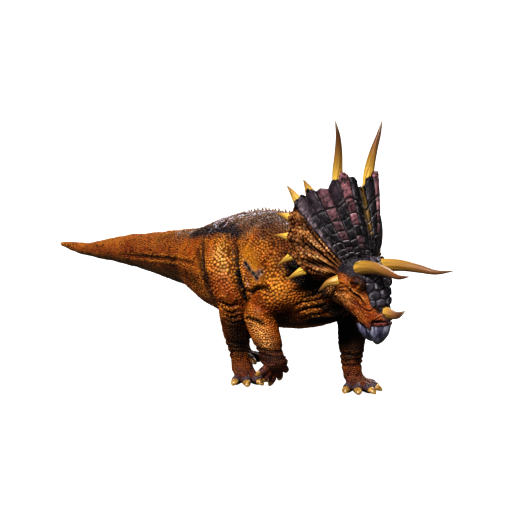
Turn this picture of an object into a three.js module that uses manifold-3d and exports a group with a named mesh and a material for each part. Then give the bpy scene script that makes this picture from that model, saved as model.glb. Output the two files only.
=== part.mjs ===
// A frilled, horned dinosaur at life size, walking with its right forefoot lifted.
// Millimetres. +X runs forward along the animal, +Y to its left and +Z up, with the floor at Z = 0.
// Left-hand pieces are mirrored from the right, apart from the legs, which are at four points of one stride.
import * as THREE from "three";
import { mergeVertices } from "three/addons/utils/BufferGeometryUtils.js";
import Module from "manifold-3d";

const wasm = await Module();
wasm.setup();

// Driving dimensions
const GAP = 0.3; // between parted neighbours
const HORN_GAP = 2; // room for a horn in the frill
const MOUTH_GAP = 5; // the line of the mouth

const TAIL_ROOT = { x: -800, z: 953, wide: 262, tall: 292 };
const TAIL_TIP = 17; // half size at the blunt end
const TAIL_LENGTH = 1950;
const TAIL_SWING = -300; // the tip lies to the animal's right
const TAIL_SAG = { depth: 42, at: 0.79, reach: 0.16 }; // where the tail droops before its tip lifts
const TAIL_PARTING_X = -1700;

// The trunk and neck: stations along X with the back line, the belly line and the half width.
const TRUNK = [
  { x: -560, back: 1312, belly: 560, wide: 345 },
  { x: -220, back: 1412, belly: 490, wide: 415 },
  { x: 80, back: 1462, belly: 462, wide: 452 },
  { x: 380, back: 1466, belly: 468, wide: 455 },
  { x: 660, back: 1440, belly: 500, wide: 420 },
  { x: 900, back: 1385, belly: 565, wide: 345 },
  { x: 1080, back: 1315, belly: 665, wide: 262 },
  { x: 1230, back: 1235, belly: 800, wide: 190 },
];
const NECK_X = 1000; // torso ends, neck begins
const HEAD_PLANE = { point: [1180, 0, 1000], normal: [0.954, 0, -0.3] }; // neck ends, head begins

// The skull: stations from inside the neck to the beak, with the half width and the reach to brow and jaw.
const SKULL = [
  { at: [1010, 0, 1160], wide: 190, up: 110, down: 215 },
  { at: [1200, 0, 1060], wide: 205, up: 215, down: 215 },
  { at: [1330, 0, 920], wide: 188, up: 228, down: 165 },
  { at: [1408, 0, 770], wide: 152, up: 172, down: 126 },
  { at: [1434, 0, 672], wide: 140, up: 170, down: 104 },
  { at: [1446, 0, 580], wide: 96, up: 120, down: 84 },
];
const MOUTH = { point: [1420, 0, 622], pitch: 48, corner: 215 }; // corner: distance back from the point
const BEAK_EDGE = {
  upper: { point: [1500, 0, 682], tilt: 14 }, // tilt: degrees from level
  lower: { point: [1395, 0, 604], tilt: 42 },
};
const BROW_KNOB = { at: [1456, -128, 968], radius: 44 };
const EYE = { at: [1402, -148, 985], radius: 44, lid: 11 };
const NOSTRIL = { at: [1492, -88, 702], radius: 19 };
const CHEEK = { root: [1330, -120, 925], flare: [1262, -265, 985], radius: 78 };

// Horns: root sunk in the bone, then points along the horn, and the radius at the root.
const BROW_HORN = {
  path: [
    [1370, -100, 1088], [1455, -116, 1106], [1602, -143, 1116],
    [1754, -175, 1103], [1900, -209, 1086], [2044, -246, 1108],
  ],
  radius: 57,
  taper: 1.9,
};
const NOSE_HORN = {
  path: [[1460, 0, 745], [1575, 0, 752], [1690, 0, 748], [1776, 0, 792]],
  radius: 54,
  taper: 1.5,
};
const CROWN_SPIKE = {
  path: [[1206, -158, 1660], [1198, -173, 1820], [1226, -192, 1985], [1252, -224, 2125], [1256, -258, 2240]],
  radius: 46,
  taper: 1.3,
};
const CHEEK_HORN = {
  path: [[1290, -235, 1000], [1228, -292, 975], [1160, -335, 905]],
  radius: 40,
  taper: 1.4,
};

// The frill: one half of its rim, from the notch on the midline to the cheek, and the curve it springs from.
const FRILL_RIM = [
  [1256, 0, 1672], [1252, -165, 1818], [1165, -250, 1716], [1050, -328, 1672], [994, -400, 1606],
  [968, -448, 1480], [975, -465, 1330], [998, -462, 1188], [1100, -415, 1066],
];
const FRILL_ROOT = [[1425, 0, 1130], [1290, -140, 1100], [1215, -160, 985]];
const FRILL_THICKNESS = { root: 84, rim: 46 };
const SCUTES = { across: 11, rows: 6, widest: 0.5, growth: 1.32, relief: 24 }; // widest: reach round the rim
const SIDE_COLUMNS = 3; // plain columns outside the scutes, each side
const FRILL_PARTING = 0.56; // where the side plates begin, as a share of the way round
const FRILL_BULGE = 46; // the front swells between root and rim
const RIM_LOBE = 16;
// The small rim spikes: place from 0 at the notch to 1 at the cheek, length, and rise in degrees.
const RIM_SPIKES = [
  { at: 0.375, length: 105, rise: 78 },
  { at: 0.5, length: 135, rise: 66 },
  { at: 0.625, length: 135, rise: 20 },
  { at: 0.75, length: 140, rise: 8 },
  { at: 0.875, length: 140, rise: -32 },
  { at: 0.985, length: 150, rise: -28 },
];
const RIM_SPIKE = { radius: 38, splay: 0.42 };

const BACK_SPINES = {
  from: -620, to: 620, count: 16, tallest: 40, shortest: 14, radius: 15, sunk: 30, lean: -0.55,
};

// Legs: joints from the body down, with the half sizes (side, front, back) at each.
const LEGS = {
  hind_right: {
    upper: [
      { at: [-250, -205, 1120], wide: 150, up: 210, down: 200 },
      { at: [-120, -325, 960], wide: 165, up: 232, down: 215 },
      { at: [40, -360, 790], wide: 146, up: 184, down: 180 },
      { at: [120, -365, 650], wide: 112, up: 120, down: 130 },
    ],
    lower: [
      { at: [120, -362, 740], wide: 118, up: 132, down: 138 },
      { at: [105, -345, 560], wide: 118, up: 118, down: 130 },
      { at: [98, -300, 330], wide: 92, up: 92, down: 92 },
      { at: [122, -276, 190], wide: 92, up: 96, down: 86 },
      { at: [150, -270, 70], wide: 110, up: 118, down: 100 },
    ],
    foot: { at: [165, -268, 0], toes: 4, turn: -16, tilt: 0, spread: 1 },
  },
  hind_left: {
    upper: [
      { at: [-260, 205, 1120], wide: 150, up: 210, down: 200 },
      { at: [-170, 300, 950], wide: 158, up: 220, down: 215 },
      { at: [-80, 350, 770], wide: 140, up: 180, down: 180 },
      { at: [-70, 358, 620], wide: 112, up: 120, down: 130 },
    ],
    lower: [
      { at: [-80, 355, 700], wide: 118, up: 130, down: 138 },
      { at: [-230, 335, 540], wide: 118, up: 118, down: 140 },
      { at: [-480, 295, 320], wide: 90, up: 92, down: 100 },
      { at: [-560, 278, 185], wide: 90, up: 92, down: 88 },
      { at: [-545, 272, 70], wide: 108, up: 112, down: 96 },
    ],
    foot: { at: [-530, 270, 0], toes: 4, turn: 10, tilt: 0, spread: 1 },
  },
  fore_left: {
    upper: [
      { at: [850, 190, 1010], wide: 135, up: 170, down: 180 },
      { at: [860, 285, 900], wide: 140, up: 175, down: 180 },
      { at: [850, 330, 740], wide: 128, up: 150, down: 150 },
      { at: [850, 325, 600], wide: 108, up: 118, down: 122 },
    ],
    lower: [
      { at: [860, 325, 700], wide: 112, up: 118, down: 122 },
      { at: [905, 290, 510], wide: 116, up: 122, down: 134 },
      { at: [935, 262, 330], wide: 100, up: 102, down: 112 },
      { at: [945, 252, 185], wide: 80, up: 80, down: 84 },
      { at: [965, 250, 70], wide: 96, up: 100, down: 88 },
    ],
    foot: { at: [985, 250, 0], toes: 5, turn: -4, tilt: 0, spread: 1 },
  },
  fore_right: {
    upper: [
      { at: [850, -190, 1010], wide: 135, up: 170, down: 180 },
      { at: [790, -290, 905], wide: 140, up: 170, down: 170 },
      { at: [660, -375, 800], wide: 128, up: 140, down: 140 },
      { at: [520, -425, 720], wide: 106, up: 112, down: 112 },
    ],
    lower: [
      { at: [500, -425, 800], wide: 112, up: 118, down: 112 },
      { at: [560, -425, 640], wide: 132, up: 128, down: 146 },
      { at: [632, -405, 470], wide: 122, up: 116, down: 146 },
      { at: [662, -392, 345], wide: 104, up: 96, down: 112 },
      { at: [640, -386, 240], wide: 104, up: 76, down: 80 },
    ],
    foot: { at: [672, -388, 315], toes: 5, turn: -6, tilt: 104, spread: 0.56 },
  },
};
// A foot in its own frame: heel at the origin, toes fanned round +X, sole at Z = 0.
const FOOT = {
  fan: { 4: 104, 5: 132 }, // degrees from first toe to last
  reach: 118, // heel to the toe's root
  toe: { length: 128, wide: 44, tall: 44, height: 40 },
  claw: { length: 92, wide: 33, tall: 30 },
};

const HIDE = new THREE.MeshStandardMaterial({ color: 0x9a5a20, roughness: 0.75, metalness: 0 });
const SHIELD = new THREE.MeshStandardMaterial({ color: 0x3a3038, roughness: 0.6, metalness: 0 });
const HORN = new THREE.MeshStandardMaterial({ color: 0xb59232, roughness: 0.45, metalness: 0 });
const BEAK = new THREE.MeshStandardMaterial({ color: 0x5a5a70, roughness: 0.35, metalness: 0 });
const EYEBALL = new THREE.MeshStandardMaterial({ color: 0x6a2410, roughness: 0.12, metalness: 0 });

const LEFT = new THREE.Vector3(0, 1, 0);
const vector = (p) => new THREE.Vector3(...p);
const mirrored = (p) => [p[0], -p[1], p[2]];
const oval = (at, wide, tall) => ({ at, wide, up: tall, down: tall });

// Solids

// A closed three.js geometry as a solid that can be joined and cut.
function solid(geometry) {
  const bare = geometry.clone();
  bare.deleteAttribute("normal");
  bare.deleteAttribute("uv");
  const merged = mergeVertices(bare, 1e-3);
  const vertProperties = new Float32Array(merged.attributes.position.array);
  const triVerts = new Uint32Array(merged.index.array);
  const made = new wasm.Manifold(new wasm.Mesh({ numProp: 3, vertProperties, triVerts }));
  if (made.volume() > 0) return made;
  for (let i = 0; i < triVerts.length; i += 3) {
    [triVerts[i + 1], triVerts[i + 2]] = [triVerts[i + 2], triVerts[i + 1]];
  }
  return new wasm.Manifold(new wasm.Mesh({ numProp: 3, vertProperties, triVerts }));
}

const joined = (solids) => solids.reduce((whole, piece) => whole.add(piece));
const largest = (made) => made.decompose().reduce((a, b) => (a.volume() > b.volume() ? a : b));

// Keeps what lies beyond a plane, along its normal.
function beyond(made, normal, point, shift = 0) {
  const n = vector(normal).normalize();
  return made.trimByPlane(n.toArray(), n.dot(vector(point)) + shift);
}

function node(name, made, material) {
  const mesh = largest(made).getMesh();
  const geometry = new THREE.BufferGeometry();
  geometry.setAttribute("position", new THREE.BufferAttribute(mesh.vertProperties, 3));
  geometry.setIndex(new THREE.BufferAttribute(mesh.triVerts, 1));
  geometry.computeVertexNormals();
  const piece = new THREE.Mesh(geometry, material);
  piece.name = name;
  return piece;
}

// A closed form through oval sections, each with its centre and its half sizes: to the side, up and down.
// Both ends are rounded over a share of the length. grow swells the form, to cut a neighbour clear of it.
function loft(sections, { sides = 16, steps = 16, caps = [0.2, 0.2], side = LEFT, grow = 0 } = {}) {
  const path = new THREE.CatmullRomCurve3(sections.map((s) => vector(s.at)), false, "centripetal");
  const sizes = new THREE.CatmullRomCurve3(
    sections.map((s) => new THREE.Vector3(s.wide, s.up, s.down)), false, "catmullrom", 0.5,
  );
  const round = (v, cap) => (v < cap ? Math.sqrt(1 - (1 - v / cap) ** 2) : 1);
  const geometry = new THREE.SphereGeometry(1, sides, steps);
  const uv = geometry.attributes.uv;
  for (let i = 0; i < uv.count; i++) {
    const v = (1 - Math.cos(Math.PI * uv.getY(i))) / 2;
    const angle = 2 * Math.PI * uv.getX(i);
    const along = path.getTangent(v);
    const across = side.clone().addScaledVector(along, -side.dot(along)).normalize();
    const over = along.clone().cross(across);
    const taper = round(v, caps[0]) * round(1 - v, caps[1]);
    const { x: wide, y: up, z: down } = sizes.getPoint(v);
    const rise = Math.sin(angle);
    const point = path.getPoint(v)
      .addScaledVector(along, grow * (2 * v - 1))
      .addScaledVector(across, (wide + grow) * taper * Math.cos(angle))
      .addScaledVector(over, ((rise > 0 ? up : down) + grow) * taper * rise);
    geometry.attributes.position.setXYZ(i, point.x, point.y, point.z);
  }
  return solid(geometry);
}

// A horn along a path, from its full radius at the root to a point.
function horn({ path, radius, taper }, { sides = 9, steps = 10, grow = 0 } = {}) {
  const sections = path.map((at, i) => {
    const size = radius * (1 - (i / (path.length - 1)) ** taper) + 3;
    return oval(at, size, size);
  });
  return loft(sections, { sides, steps, caps: [0.06, 0.04], grow });
}

const mirroredHorn = (h) => ({ ...h, path: h.path.map(mirrored) });

// Trunk, neck and tail

function body(grow = 0) {
  const tail = [1, 0.9, 0.8, 0.6, 0.42, 0.26, 0.12, 0].map((share) => ({
    at: [
      TAIL_ROOT.x - TAIL_LENGTH * share,
      TAIL_SWING * share ** 1.7,
      TAIL_ROOT.z - TAIL_SAG.depth * Math.exp(-(((share - TAIL_SAG.at) / TAIL_SAG.reach) ** 2)),
    ],
    wide: THREE.MathUtils.lerp(TAIL_ROOT.wide, TAIL_TIP, share),
    up: THREE.MathUtils.lerp(TAIL_ROOT.tall, TAIL_TIP, share),
    down: THREE.MathUtils.lerp(TAIL_ROOT.tall, TAIL_TIP, share),
  }));
  const trunk = TRUNK.map(({ x, back, belly, wide }) => {
    const tall = (back - belly) / 2;
    return { at: [x, 0, belly + tall], wide, up: tall, down: tall };
  });
  return loft([...tail, ...trunk], { sides: 22, steps: 38, caps: [0.02, 0.05], grow });
}

// The midline of the back at a place along the trunk.
function backLine(x) {
  const next = Math.max(1, TRUNK.findIndex((s) => s.x >= x));
  const [a, b] = [TRUNK[next - 1], TRUNK[next]];
  return a.back + (b.back - a.back) * THREE.MathUtils.smoothstep(x, a.x, b.x);
}

function backSpines() {
  const { from, to, count, tallest, shortest, radius, sunk, lean } = BACK_SPINES;
  return Array.from({ length: count }, (_, i) => {
    const share = i / (count - 1);
    const x = from + (to - from) * share;
    const height = shortest + (tallest - shortest) * Math.sin(Math.PI * 0.62 * share) ** 2;
    const spine = new THREE.ConeGeometry(radius, height + sunk, 5);
    spine.rotateX(Math.PI / 2).rotateY(lean);
    spine.translate(x, 0, backLine(x) + (height - sunk) / 2);
    return solid(spine);
  });
}

// Legs

// A foot's pad, toes and claws, in world space.
function foot({ at, toes, turn, tilt, spread }, grow) {
  const { fan, reach, toe, claw } = FOOT;
  const place = new THREE.Matrix4()
    .makeTranslation(...at)
    .multiply(new THREE.Matrix4().makeRotationZ(THREE.MathUtils.degToRad(turn)))
    .multiply(new THREE.Matrix4().makeRotationY(THREE.MathUtils.degToRad(tilt)));
  const set = (x, y, z) => new THREE.Vector3(x, y, z).applyMatrix4(place).toArray();
  const side = new THREE.Vector3(0, 1, 0).transformDirection(place);
  const digits = Array.from({ length: toes }, (_, i) => {
    const share = i / (toes - 1) - 0.5;
    const heading = THREE.MathUtils.degToRad(fan[toes] * spread * share);
    const length = 1 - 0.5 * Math.abs(share);
    const [ahead, aside] = [Math.cos(heading), Math.sin(heading)];
    const point = (distance, height) => set(ahead * distance, aside * distance, height);
    const tip = reach * 0.62 + toe.length * length;
    const hide = loft(
      [
        oval(point(20, toe.height * 1.5), toe.wide, toe.tall),
        oval(point(tip * 0.62, toe.height * 1.15), toe.wide, toe.tall),
        oval(point(tip, toe.height * 0.86), toe.wide * 0.86, toe.tall * 0.88),
      ],
      { sides: 8, steps: 5, caps: [0.2, 0.35], side, grow },
    );
    const nail = loft(
      [
        oval(point(tip - claw.length * 0.55, toe.height), claw.wide, claw.tall),
        oval(point(tip, toe.height * 0.8), claw.wide, claw.tall),
        oval(point(tip + claw.length * 0.5 * length, toe.height * 0.28), 8, 8),
      ],
      { sides: 6, steps: 4, caps: [0.2, 0.12], side, grow },
    );
    return hide.add(nail);
  });
  const pad = loft(
    [
      oval(set(-66, 0, 62), 84, 66),
      oval(set(20, 0, 66), 112, 78),
      oval(set(104, 0, 52), 96, 58),
    ],
    { sides: 12, steps: 6, caps: [0.4, 0.4], side, grow },
  );
  return joined([pad, ...digits]);
}

function leg(plan, grow = 0) {
  const upper = loft(plan.upper, { sides: 14, steps: 9, caps: [0.3, 0.25], grow });
  const lower = loft(plan.lower, { sides: 12, steps: 11, caps: [0.16, 0.08], grow });
  const whole = joined([upper, lower, foot(plan.foot, grow)]);
  return plan.foot.tilt ? whole : beyond(whole, [0, 0, 1], [0, 0, 0]);
}

// The head

function skull(grow = 0) {
  const face = loft(SKULL, { sides: 20, steps: 17, caps: [0.1, 0.14], grow });
  const cheeks = [1, -1].map((hand) => {
    const at = (p) => [p[0], p[1] * hand, p[2]];
    return loft(
      [
        { at: at(CHEEK.root), wide: CHEEK.radius, up: CHEEK.radius, down: CHEEK.radius },
        { at: at(CHEEK.flare), wide: CHEEK.radius * 0.55, up: CHEEK.radius * 0.7, down: CHEEK.radius * 0.6 },
      ],
      { sides: 8, steps: 6, caps: [0.3, 0.3], side: new THREE.Vector3(1, 0, 0), grow },
    );
  });
  const knobs = [1, -1].map((hand) => {
    const [x, y, z] = BROW_KNOB.at;
    return ball([x, y * hand, z], BROW_KNOB.radius + grow);
  });
  return joined([face, ...cheeks, ...knobs]);
}

const mouthNormal = [
  Math.sin(THREE.MathUtils.degToRad(MOUTH.pitch)), 0, Math.cos(THREE.MathUtils.degToRad(MOUTH.pitch)),
];
const mouthForward = [mouthNormal[2], 0, -mouthNormal[0]];
// Straight down, turned forward by an angle.
function downward(tilt) {
  const angle = THREE.MathUtils.degToRad(tilt);
  return [Math.sin(angle), 0, -Math.cos(angle)];
}

function beakUpper(grow = 0) {
  return loft(
    [
      { at: [1430, 0, 735], wide: 122, up: 160, down: 48 },
      { at: [1446, 0, 640], wide: 124, up: 156, down: 46 },
      { at: [1470, 0, 562], wide: 94, up: 106, down: 50 },
      { at: [1486, 0, 488], wide: 18, up: 20, down: 24 },
    ],
    { sides: 14, steps: 11, caps: [0.12, 0.1], grow },
  );
}

function beakLower(grow = 0) {
  return loft(
    [
      { at: [1348, 0, 700], wide: 88, up: 54, down: 50 },
      { at: [1384, 0, 628], wide: 84, up: 52, down: 52 },
      { at: [1422, 0, 565], wide: 60, up: 40, down: 44 },
      { at: [1452, 0, 518], wide: 18, up: 14, down: 18 },
    ],
    { sides: 12, steps: 9, caps: [0.12, 0.16], grow },
  );
}

function ball([x, y, z], radius) {
  return solid(new THREE.SphereGeometry(radius, 10, 8).translate(x, y, z));
}

// Two lids: a hood of bone above the eye and a fold below it, as rings of hide round the ball.
function lids([x, y, z], hand) {
  const ring = new THREE.TorusGeometry(EYE.radius, EYE.lid, 5, 12);
  ring.scale(1.12, 0.78, 1).rotateX(Math.PI / 2).rotateZ(hand * 0.32).rotateY(0.7);
  return solid(ring.translate(x + 10, y + hand * 16, z));
}

// The frill

const rimCurve = new THREE.CatmullRomCurve3(FRILL_RIM.map(vector));
const rootCurve = new THREE.CatmullRomCurve3(FRILL_ROOT.map(vector));

// A point of the frill's front, bare of scutes: out from root 0 to rim 1, round from right -1 to left 1.
function frillFront(out, round) {
  const share = Math.abs(round);
  const hand = round > 0 ? -1 : 1;
  const root = rootCurve.getPoint(share);
  const rim = rimCurve.getPoint(share);
  const lobe = RIM_SPIKES.reduce((sum, { at }) => sum + Math.exp(-(((share - at) / 0.035) ** 2)), 0);
  const reach = rim.clone().sub(root);
  const point = root.clone().addScaledVector(reach, out);
  point.addScaledVector(reach.normalize(), RIM_LOBE * lobe * out ** 6);
  const swell = FRILL_BULGE * Math.sin(Math.PI * THREE.MathUtils.clamp(out, 0, 1));
  point.x += 0.7 * swell;
  point.y -= swell * Math.sin(Math.PI * share);
  point.y *= hand;
  return point;
}

function frillNormal(out, round) {
  const step = 0.01;
  const outward = frillFront(Math.min(1, out + step), round).sub(frillFront(out - step, round));
  const sideways = frillFront(out, round + step).sub(frillFront(out, round - step));
  return sideways.cross(outward).normalize();
}

// Round positions of the grid lines: two cells for each scute, plain columns outside them.
function gridRound(share) {
  const columns = 2 * SCUTES.across + 2 * SIDE_COLUMNS;
  const cell = Math.abs(share) * columns;
  const inner = SCUTES.across;
  const place = cell <= inner
    ? (cell / inner) * SCUTES.widest
    : SCUTES.widest + ((cell - inner) / SIDE_COLUMNS) * (1 - SCUTES.widest);
  return Math.sign(share) * Math.min(1, place);
}

// Rows of scutes grow from the brow to the rim.
function gridOut(share) {
  return (SCUTES.growth ** (share * SCUTES.rows) - 1) / (SCUTES.growth ** SCUTES.rows - 1);
}

// Height of the scutes: a peak on each one's middle and a groove along its edges.
function scuteRelief(column, row) {
  const inner = Math.abs(column) < SCUTES.across;
  const peak = (column + SCUTES.across) % 2 === 1 && row % 2 === 1;
  return inner && peak ? SCUTES.relief : 0;
}

function frill() {
  const columns = 2 * SCUTES.across + 2 * SIDE_COLUMNS;
  const rows = 2 * SCUTES.rows;
  const geometry = new THREE.BoxGeometry(1, 1, 1, columns, rows, 1);
  const position = geometry.attributes.position;
  for (let i = 0; i < position.count; i++) {
    const column = Math.round(position.getX(i) * columns);
    const row = Math.round((position.getY(i) + 0.5) * rows);
    const round = gridRound(column / columns);
    const out = gridOut(row / rows);
    const thickness = THREE.MathUtils.lerp(FRILL_THICKNESS.root, FRILL_THICKNESS.rim, out);
    const front = position.getZ(i) > 0;
    const offset = front ? scuteRelief(column, row) : -thickness;
    const point = frillFront(out, round).addScaledVector(frillNormal(out, round), offset);
    position.setXYZ(i, point.x, point.y, point.z);
  }
  return solid(geometry);
}

function rimSpikes() {
  return RIM_SPIKES.flatMap(({ at, length, rise }) => [1, -1].map((hand) => {
    const round = at * hand;
    const base = frillFront(0.97, round).addScaledVector(frillNormal(0.97, round), -FRILL_THICKNESS.rim / 2);
    const angle = THREE.MathUtils.degToRad(rise);
    const away = new THREE.Vector3(-Math.cos(angle), RIM_SPIKE.splay * hand, Math.sin(angle)).normalize();
    const point = (share) => base.clone().addScaledVector(away, length * share).toArray();
    const path = [-0.25, 0.2, 0.6, 1].map(point);
    return horn({ path, radius: RIM_SPIKE.radius, taper: 1.3 }, { sides: 6, steps: 4 });
  }));
}

// The plane that parts a side plate from the crest, through root and rim and square to the front.
function frillParting(hand) {
  const round = FRILL_PARTING * hand;
  const root = frillFront(0, round);
  const reach = frillFront(1, round).sub(root);
  const normal = reach.cross(frillNormal(0.6, round)).multiplyScalar(hand);
  return { normal: normal.toArray(), point: root.toArray() };
}

// Assembly

const animal = new THREE.Group();
const place = (name, made, material) => animal.add(node(name, made, material));

const legNames = Object.keys(LEGS);
const legCutter = joined(legNames.map((name) => leg(LEGS[name], GAP)));
const frillWhole = joined([frill(), ...rimSpikes()]);
const headAndBody = joined([body(), skull()]);
const bodyCutter = joined([body(GAP), skull(GAP)]);
const { point: headPoint, normal: headNormal } = HEAD_PLANE;
const forwards = [1, 0, 0];
const backwards = [-1, 0, 0];

const headSide = beyond(headAndBody, headNormal, headPoint);
const bodySide = beyond(headAndBody, headNormal.map((n) => -n), headPoint, GAP);

place("tail_end", beyond(bodySide, backwards, [TAIL_PARTING_X, 0, 0], GAP), HIDE);
const tailRoot = [TAIL_ROOT.x, 0, 0];
const tailBase = beyond(beyond(bodySide, forwards, [TAIL_PARTING_X, 0, 0]), backwards, tailRoot, GAP);
place("tail_base", tailBase.subtract(legCutter), HIDE);
const trunk = beyond(beyond(bodySide, forwards, tailRoot), backwards, [NECK_X, 0, 0], GAP);
place("torso", joined([trunk, ...backSpines()]).subtract(legCutter), HIDE);
place("neck", beyond(bodySide, forwards, [NECK_X, 0, 0]).subtract(legCutter), HIDE);
legNames.forEach((name) => place(`leg_${name}`, leg(LEGS[name]), HIDE));

const corner = vector(MOUTH.point).addScaledVector(vector(mouthForward), -MOUTH.corner).toArray();
const upperJaw = beyond(headSide, mouthNormal, MOUTH.point, MOUTH_GAP / 2);
const behindMouth = beyond(headSide, mouthForward.map((n) => -n), corner);
const lowerJaw = beyond(
  beyond(headSide, mouthNormal.map((n) => -n), MOUTH.point, MOUTH_GAP / 2), mouthForward, corner, GAP,
);
const hands = [["right", 1, (p) => p], ["left", -1, mirrored]];
const eyes = hands.map(([, , of]) => ball(of(EYE.at), EYE.radius));
const eyeCutters = hands.map(([, , of]) => ball(of(EYE.at), EYE.radius + GAP));
const eyeRims = hands.map(([, hand, of]) => lids(of(EYE.at), -hand));
const nostrils = hands.map(([, , of]) => ball(of(NOSTRIL.at), NOSTRIL.radius));
const { upper: upperEdge, lower: lowerEdge } = BEAK_EDGE;
const upperTurn = downward(upperEdge.tilt);
const lowerTurn = downward(lowerEdge.tilt);
const lips = beyond(upperJaw, upperTurn.map((n) => -n), upperEdge.point, GAP);
const head = joined([lips, behindMouth, ...eyeRims]).subtract(joined([...eyeCutters, ...nostrils]));
const upperBeak = beyond(beakUpper(), upperTurn, upperEdge.point);
place("head", head, HIDE);
const chin = beyond(lowerJaw, lowerTurn.map((n) => -n), lowerEdge.point, GAP);
place("lower_jaw", chin.subtract(beakUpper(GAP)), HIDE);
place("beak_upper", upperBeak, BEAK);
const lowerBeak = beyond(beakLower(), lowerTurn, lowerEdge.point);
const belowMouth = beyond(lowerBeak, mouthNormal.map((n) => -n), MOUTH.point, MOUTH_GAP / 2);
place("beak_lower", belowMouth.subtract(beakUpper(GAP)), BEAK);

const pairedHorns = { horn_brow: BROW_HORN, horn_cheek: CHEEK_HORN, spike_crown: CROWN_SPIKE };
const hornCutters = [];
hands.forEach(([name], i) => {
  place(`eye_${name}`, eyes[i], EYEBALL);
  Object.entries(pairedHorns).forEach(([kind, right]) => {
    const plan = name === "left" ? mirroredHorn(right) : right;
    place(`${kind}_${name}`, horn(plan).subtract(bodyCutter), HORN);
    hornCutters.push(horn(plan, { grow: HORN_GAP }));
  });
});
const shield = frillWhole.subtract(bodyCutter).subtract(joined(hornCutters));
const partings = [-1, 1].map(frillParting);
const [{ normal: sideNormal, point: sidePoint }] = partings;
const sidePlate = node("frill_side_right", beyond(shield, sideNormal, sidePoint, GAP), SHIELD);
const otherPlate = sidePlate.clone();
otherPlate.name = "frill_side_left";
otherPlate.scale.y = -1;
animal.add(sidePlate, otherPlate);
const crestOf = (made, { normal, point }) => beyond(made, normal.map((n) => -n), point);
place("frill_crest", partings.reduce(crestOf, shield), SHIELD);
place("horn_nose", horn(NOSE_HORN).subtract(bodyCutter).subtract(beakUpper(GAP)), HORN);

// The origin is the middle of the box's floor.
const box = new THREE.Box3().setFromObject(animal);
const middle = box.getCenter(new THREE.Vector3());
animal.position.set(-middle.x, -middle.y, -box.min.z);

export default animal;
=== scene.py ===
import math

import bmesh
import bpy
import numpy as np
from mathutils import Matrix, Vector
from mathutils.bvhtree import BVHTree
from mathutils.kdtree import KDTree


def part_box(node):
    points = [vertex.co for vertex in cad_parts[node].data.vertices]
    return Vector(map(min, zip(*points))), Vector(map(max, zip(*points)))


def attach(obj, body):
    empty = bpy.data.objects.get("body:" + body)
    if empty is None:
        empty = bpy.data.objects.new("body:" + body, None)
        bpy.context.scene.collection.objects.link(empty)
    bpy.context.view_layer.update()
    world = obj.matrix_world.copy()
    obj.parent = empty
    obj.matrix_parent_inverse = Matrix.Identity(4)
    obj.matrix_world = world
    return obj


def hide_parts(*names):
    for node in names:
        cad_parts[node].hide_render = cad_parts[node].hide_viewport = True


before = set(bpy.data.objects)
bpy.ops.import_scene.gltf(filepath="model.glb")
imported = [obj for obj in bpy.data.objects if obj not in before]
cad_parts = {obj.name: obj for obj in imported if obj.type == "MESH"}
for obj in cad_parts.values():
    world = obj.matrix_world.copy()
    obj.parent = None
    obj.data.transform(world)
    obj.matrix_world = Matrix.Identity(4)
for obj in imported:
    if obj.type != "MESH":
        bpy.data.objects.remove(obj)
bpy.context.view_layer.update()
CHANCE = np.random.default_rng(7)

# Photograph and camera
PICTURE = 512
VIEW = {"azimuth": 50.0, "elevation": 7.0, "distance": 11.0, "focal": 1265.0, "aim": (0, 0, 1050)}

# Head
EYE = {"at": (1402, -148, 985), "radius": 44}
BROW_HORN = {
    "path": [
        (1370, -100, 1088), (1455, -116, 1106), (1602, -143, 1116), (1754, -175, 1103), (1900, -209, 1086),
        (2044, -246, 1108)
    ],
    "radius": 55,
    "taper": 1.45,
}
NOSE_HORN = {"path": [(1460, 0, 745), (1575, 0, 752), (1690, 0, 748), (1776, 0, 792)], "radius": 54, "taper": 1.5}
CROWN_SPIKE = {
    "path": [(1206, -158, 1660), (1198, -173, 1820), (1226, -192, 1985), (1252, -224, 2125), (1256, -258, 2240)],
    "radius": 46,
    "taper": 1.3,
}
CHEEK_HORN = {"path": [(1290, -235, 1000), (1228, -292, 975), (1160, -335, 905)], "radius": 40, "taper": 1.4}
CHEEK_FLANGE = [  # from the corner of the mouth to the cheek horn: centre, half thickness, reach down, reach up
    ((1500, -94, 614), (22, 32, 30)),
    ((1468, -106, 676), (28, 46, 42)),
    ((1430, -126, 738), (30, 58, 52)),
    ((1370, -148, 790), (32, 66, 58)),
    ((1318, -176, 848), (32, 72, 62)),
    ((1258, -208, 905), (30, 70, 58)),
    ((1212, -232, 925), (16, 34, 30)),
]
UPPER_BEAK = [
    ((1430, 0, 735), (100, 160, 44)),
    ((1446, 0, 640), (88, 172, 30)),
    ((1468, 0, 562), (70, 130, 34)),
    ((1484, 0, 488), (16, 32, 18)),
]
LOWER_BEAK = [
    ((1348, 0, 700), (100, 54, 50)),
    ((1384, 0, 622), (106, 52, 58)),
    ((1422, 0, 557), (78, 42, 50)),
    ((1452, 0, 514), (22, 16, 20)),
]

# Frill: one half of its rim, from the notch to the cheek, and the curve it springs from
FRILL_RIM = [
    (1256, 0, 1672), (1252, -165, 1818), (1165, -250, 1716), (1050, -328, 1672), (994, -400, 1606),
    (968, -448, 1480), (975, -465, 1330), (998, -462, 1188), (1100, -415, 1066),
]
FRILL_ROOT = [(1425, 0, 1130), (1290, -140, 1100), (1215, -160, 985)]
FRILL_THICKNESS = {"root": 84, "rim": 46}
FRILL_BULGE = 46
RIM_LOBE = 16
# Spikes of the rim: share of the way round it, length, rise in degrees; those that rise steeply stand on the crest.
RIM_SPIKES = [(0.375, 145, 78), (0.5, 182, 66), (0.625, 155, 20), (0.75, 160, 8), (0.875, 160, -32), (0.985, 165, -28)]
STEEP = 40
RIM_SPIKE = {"radius": 38, "splay": 0.42, "taper": 1.3}
CREST_EDGE = 0.5  # the scuted crest reaches this far round the rim, each way

# Tail: where it leaves the hips, and its length
TAIL = {"x": -800, "length": 1950}

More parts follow.
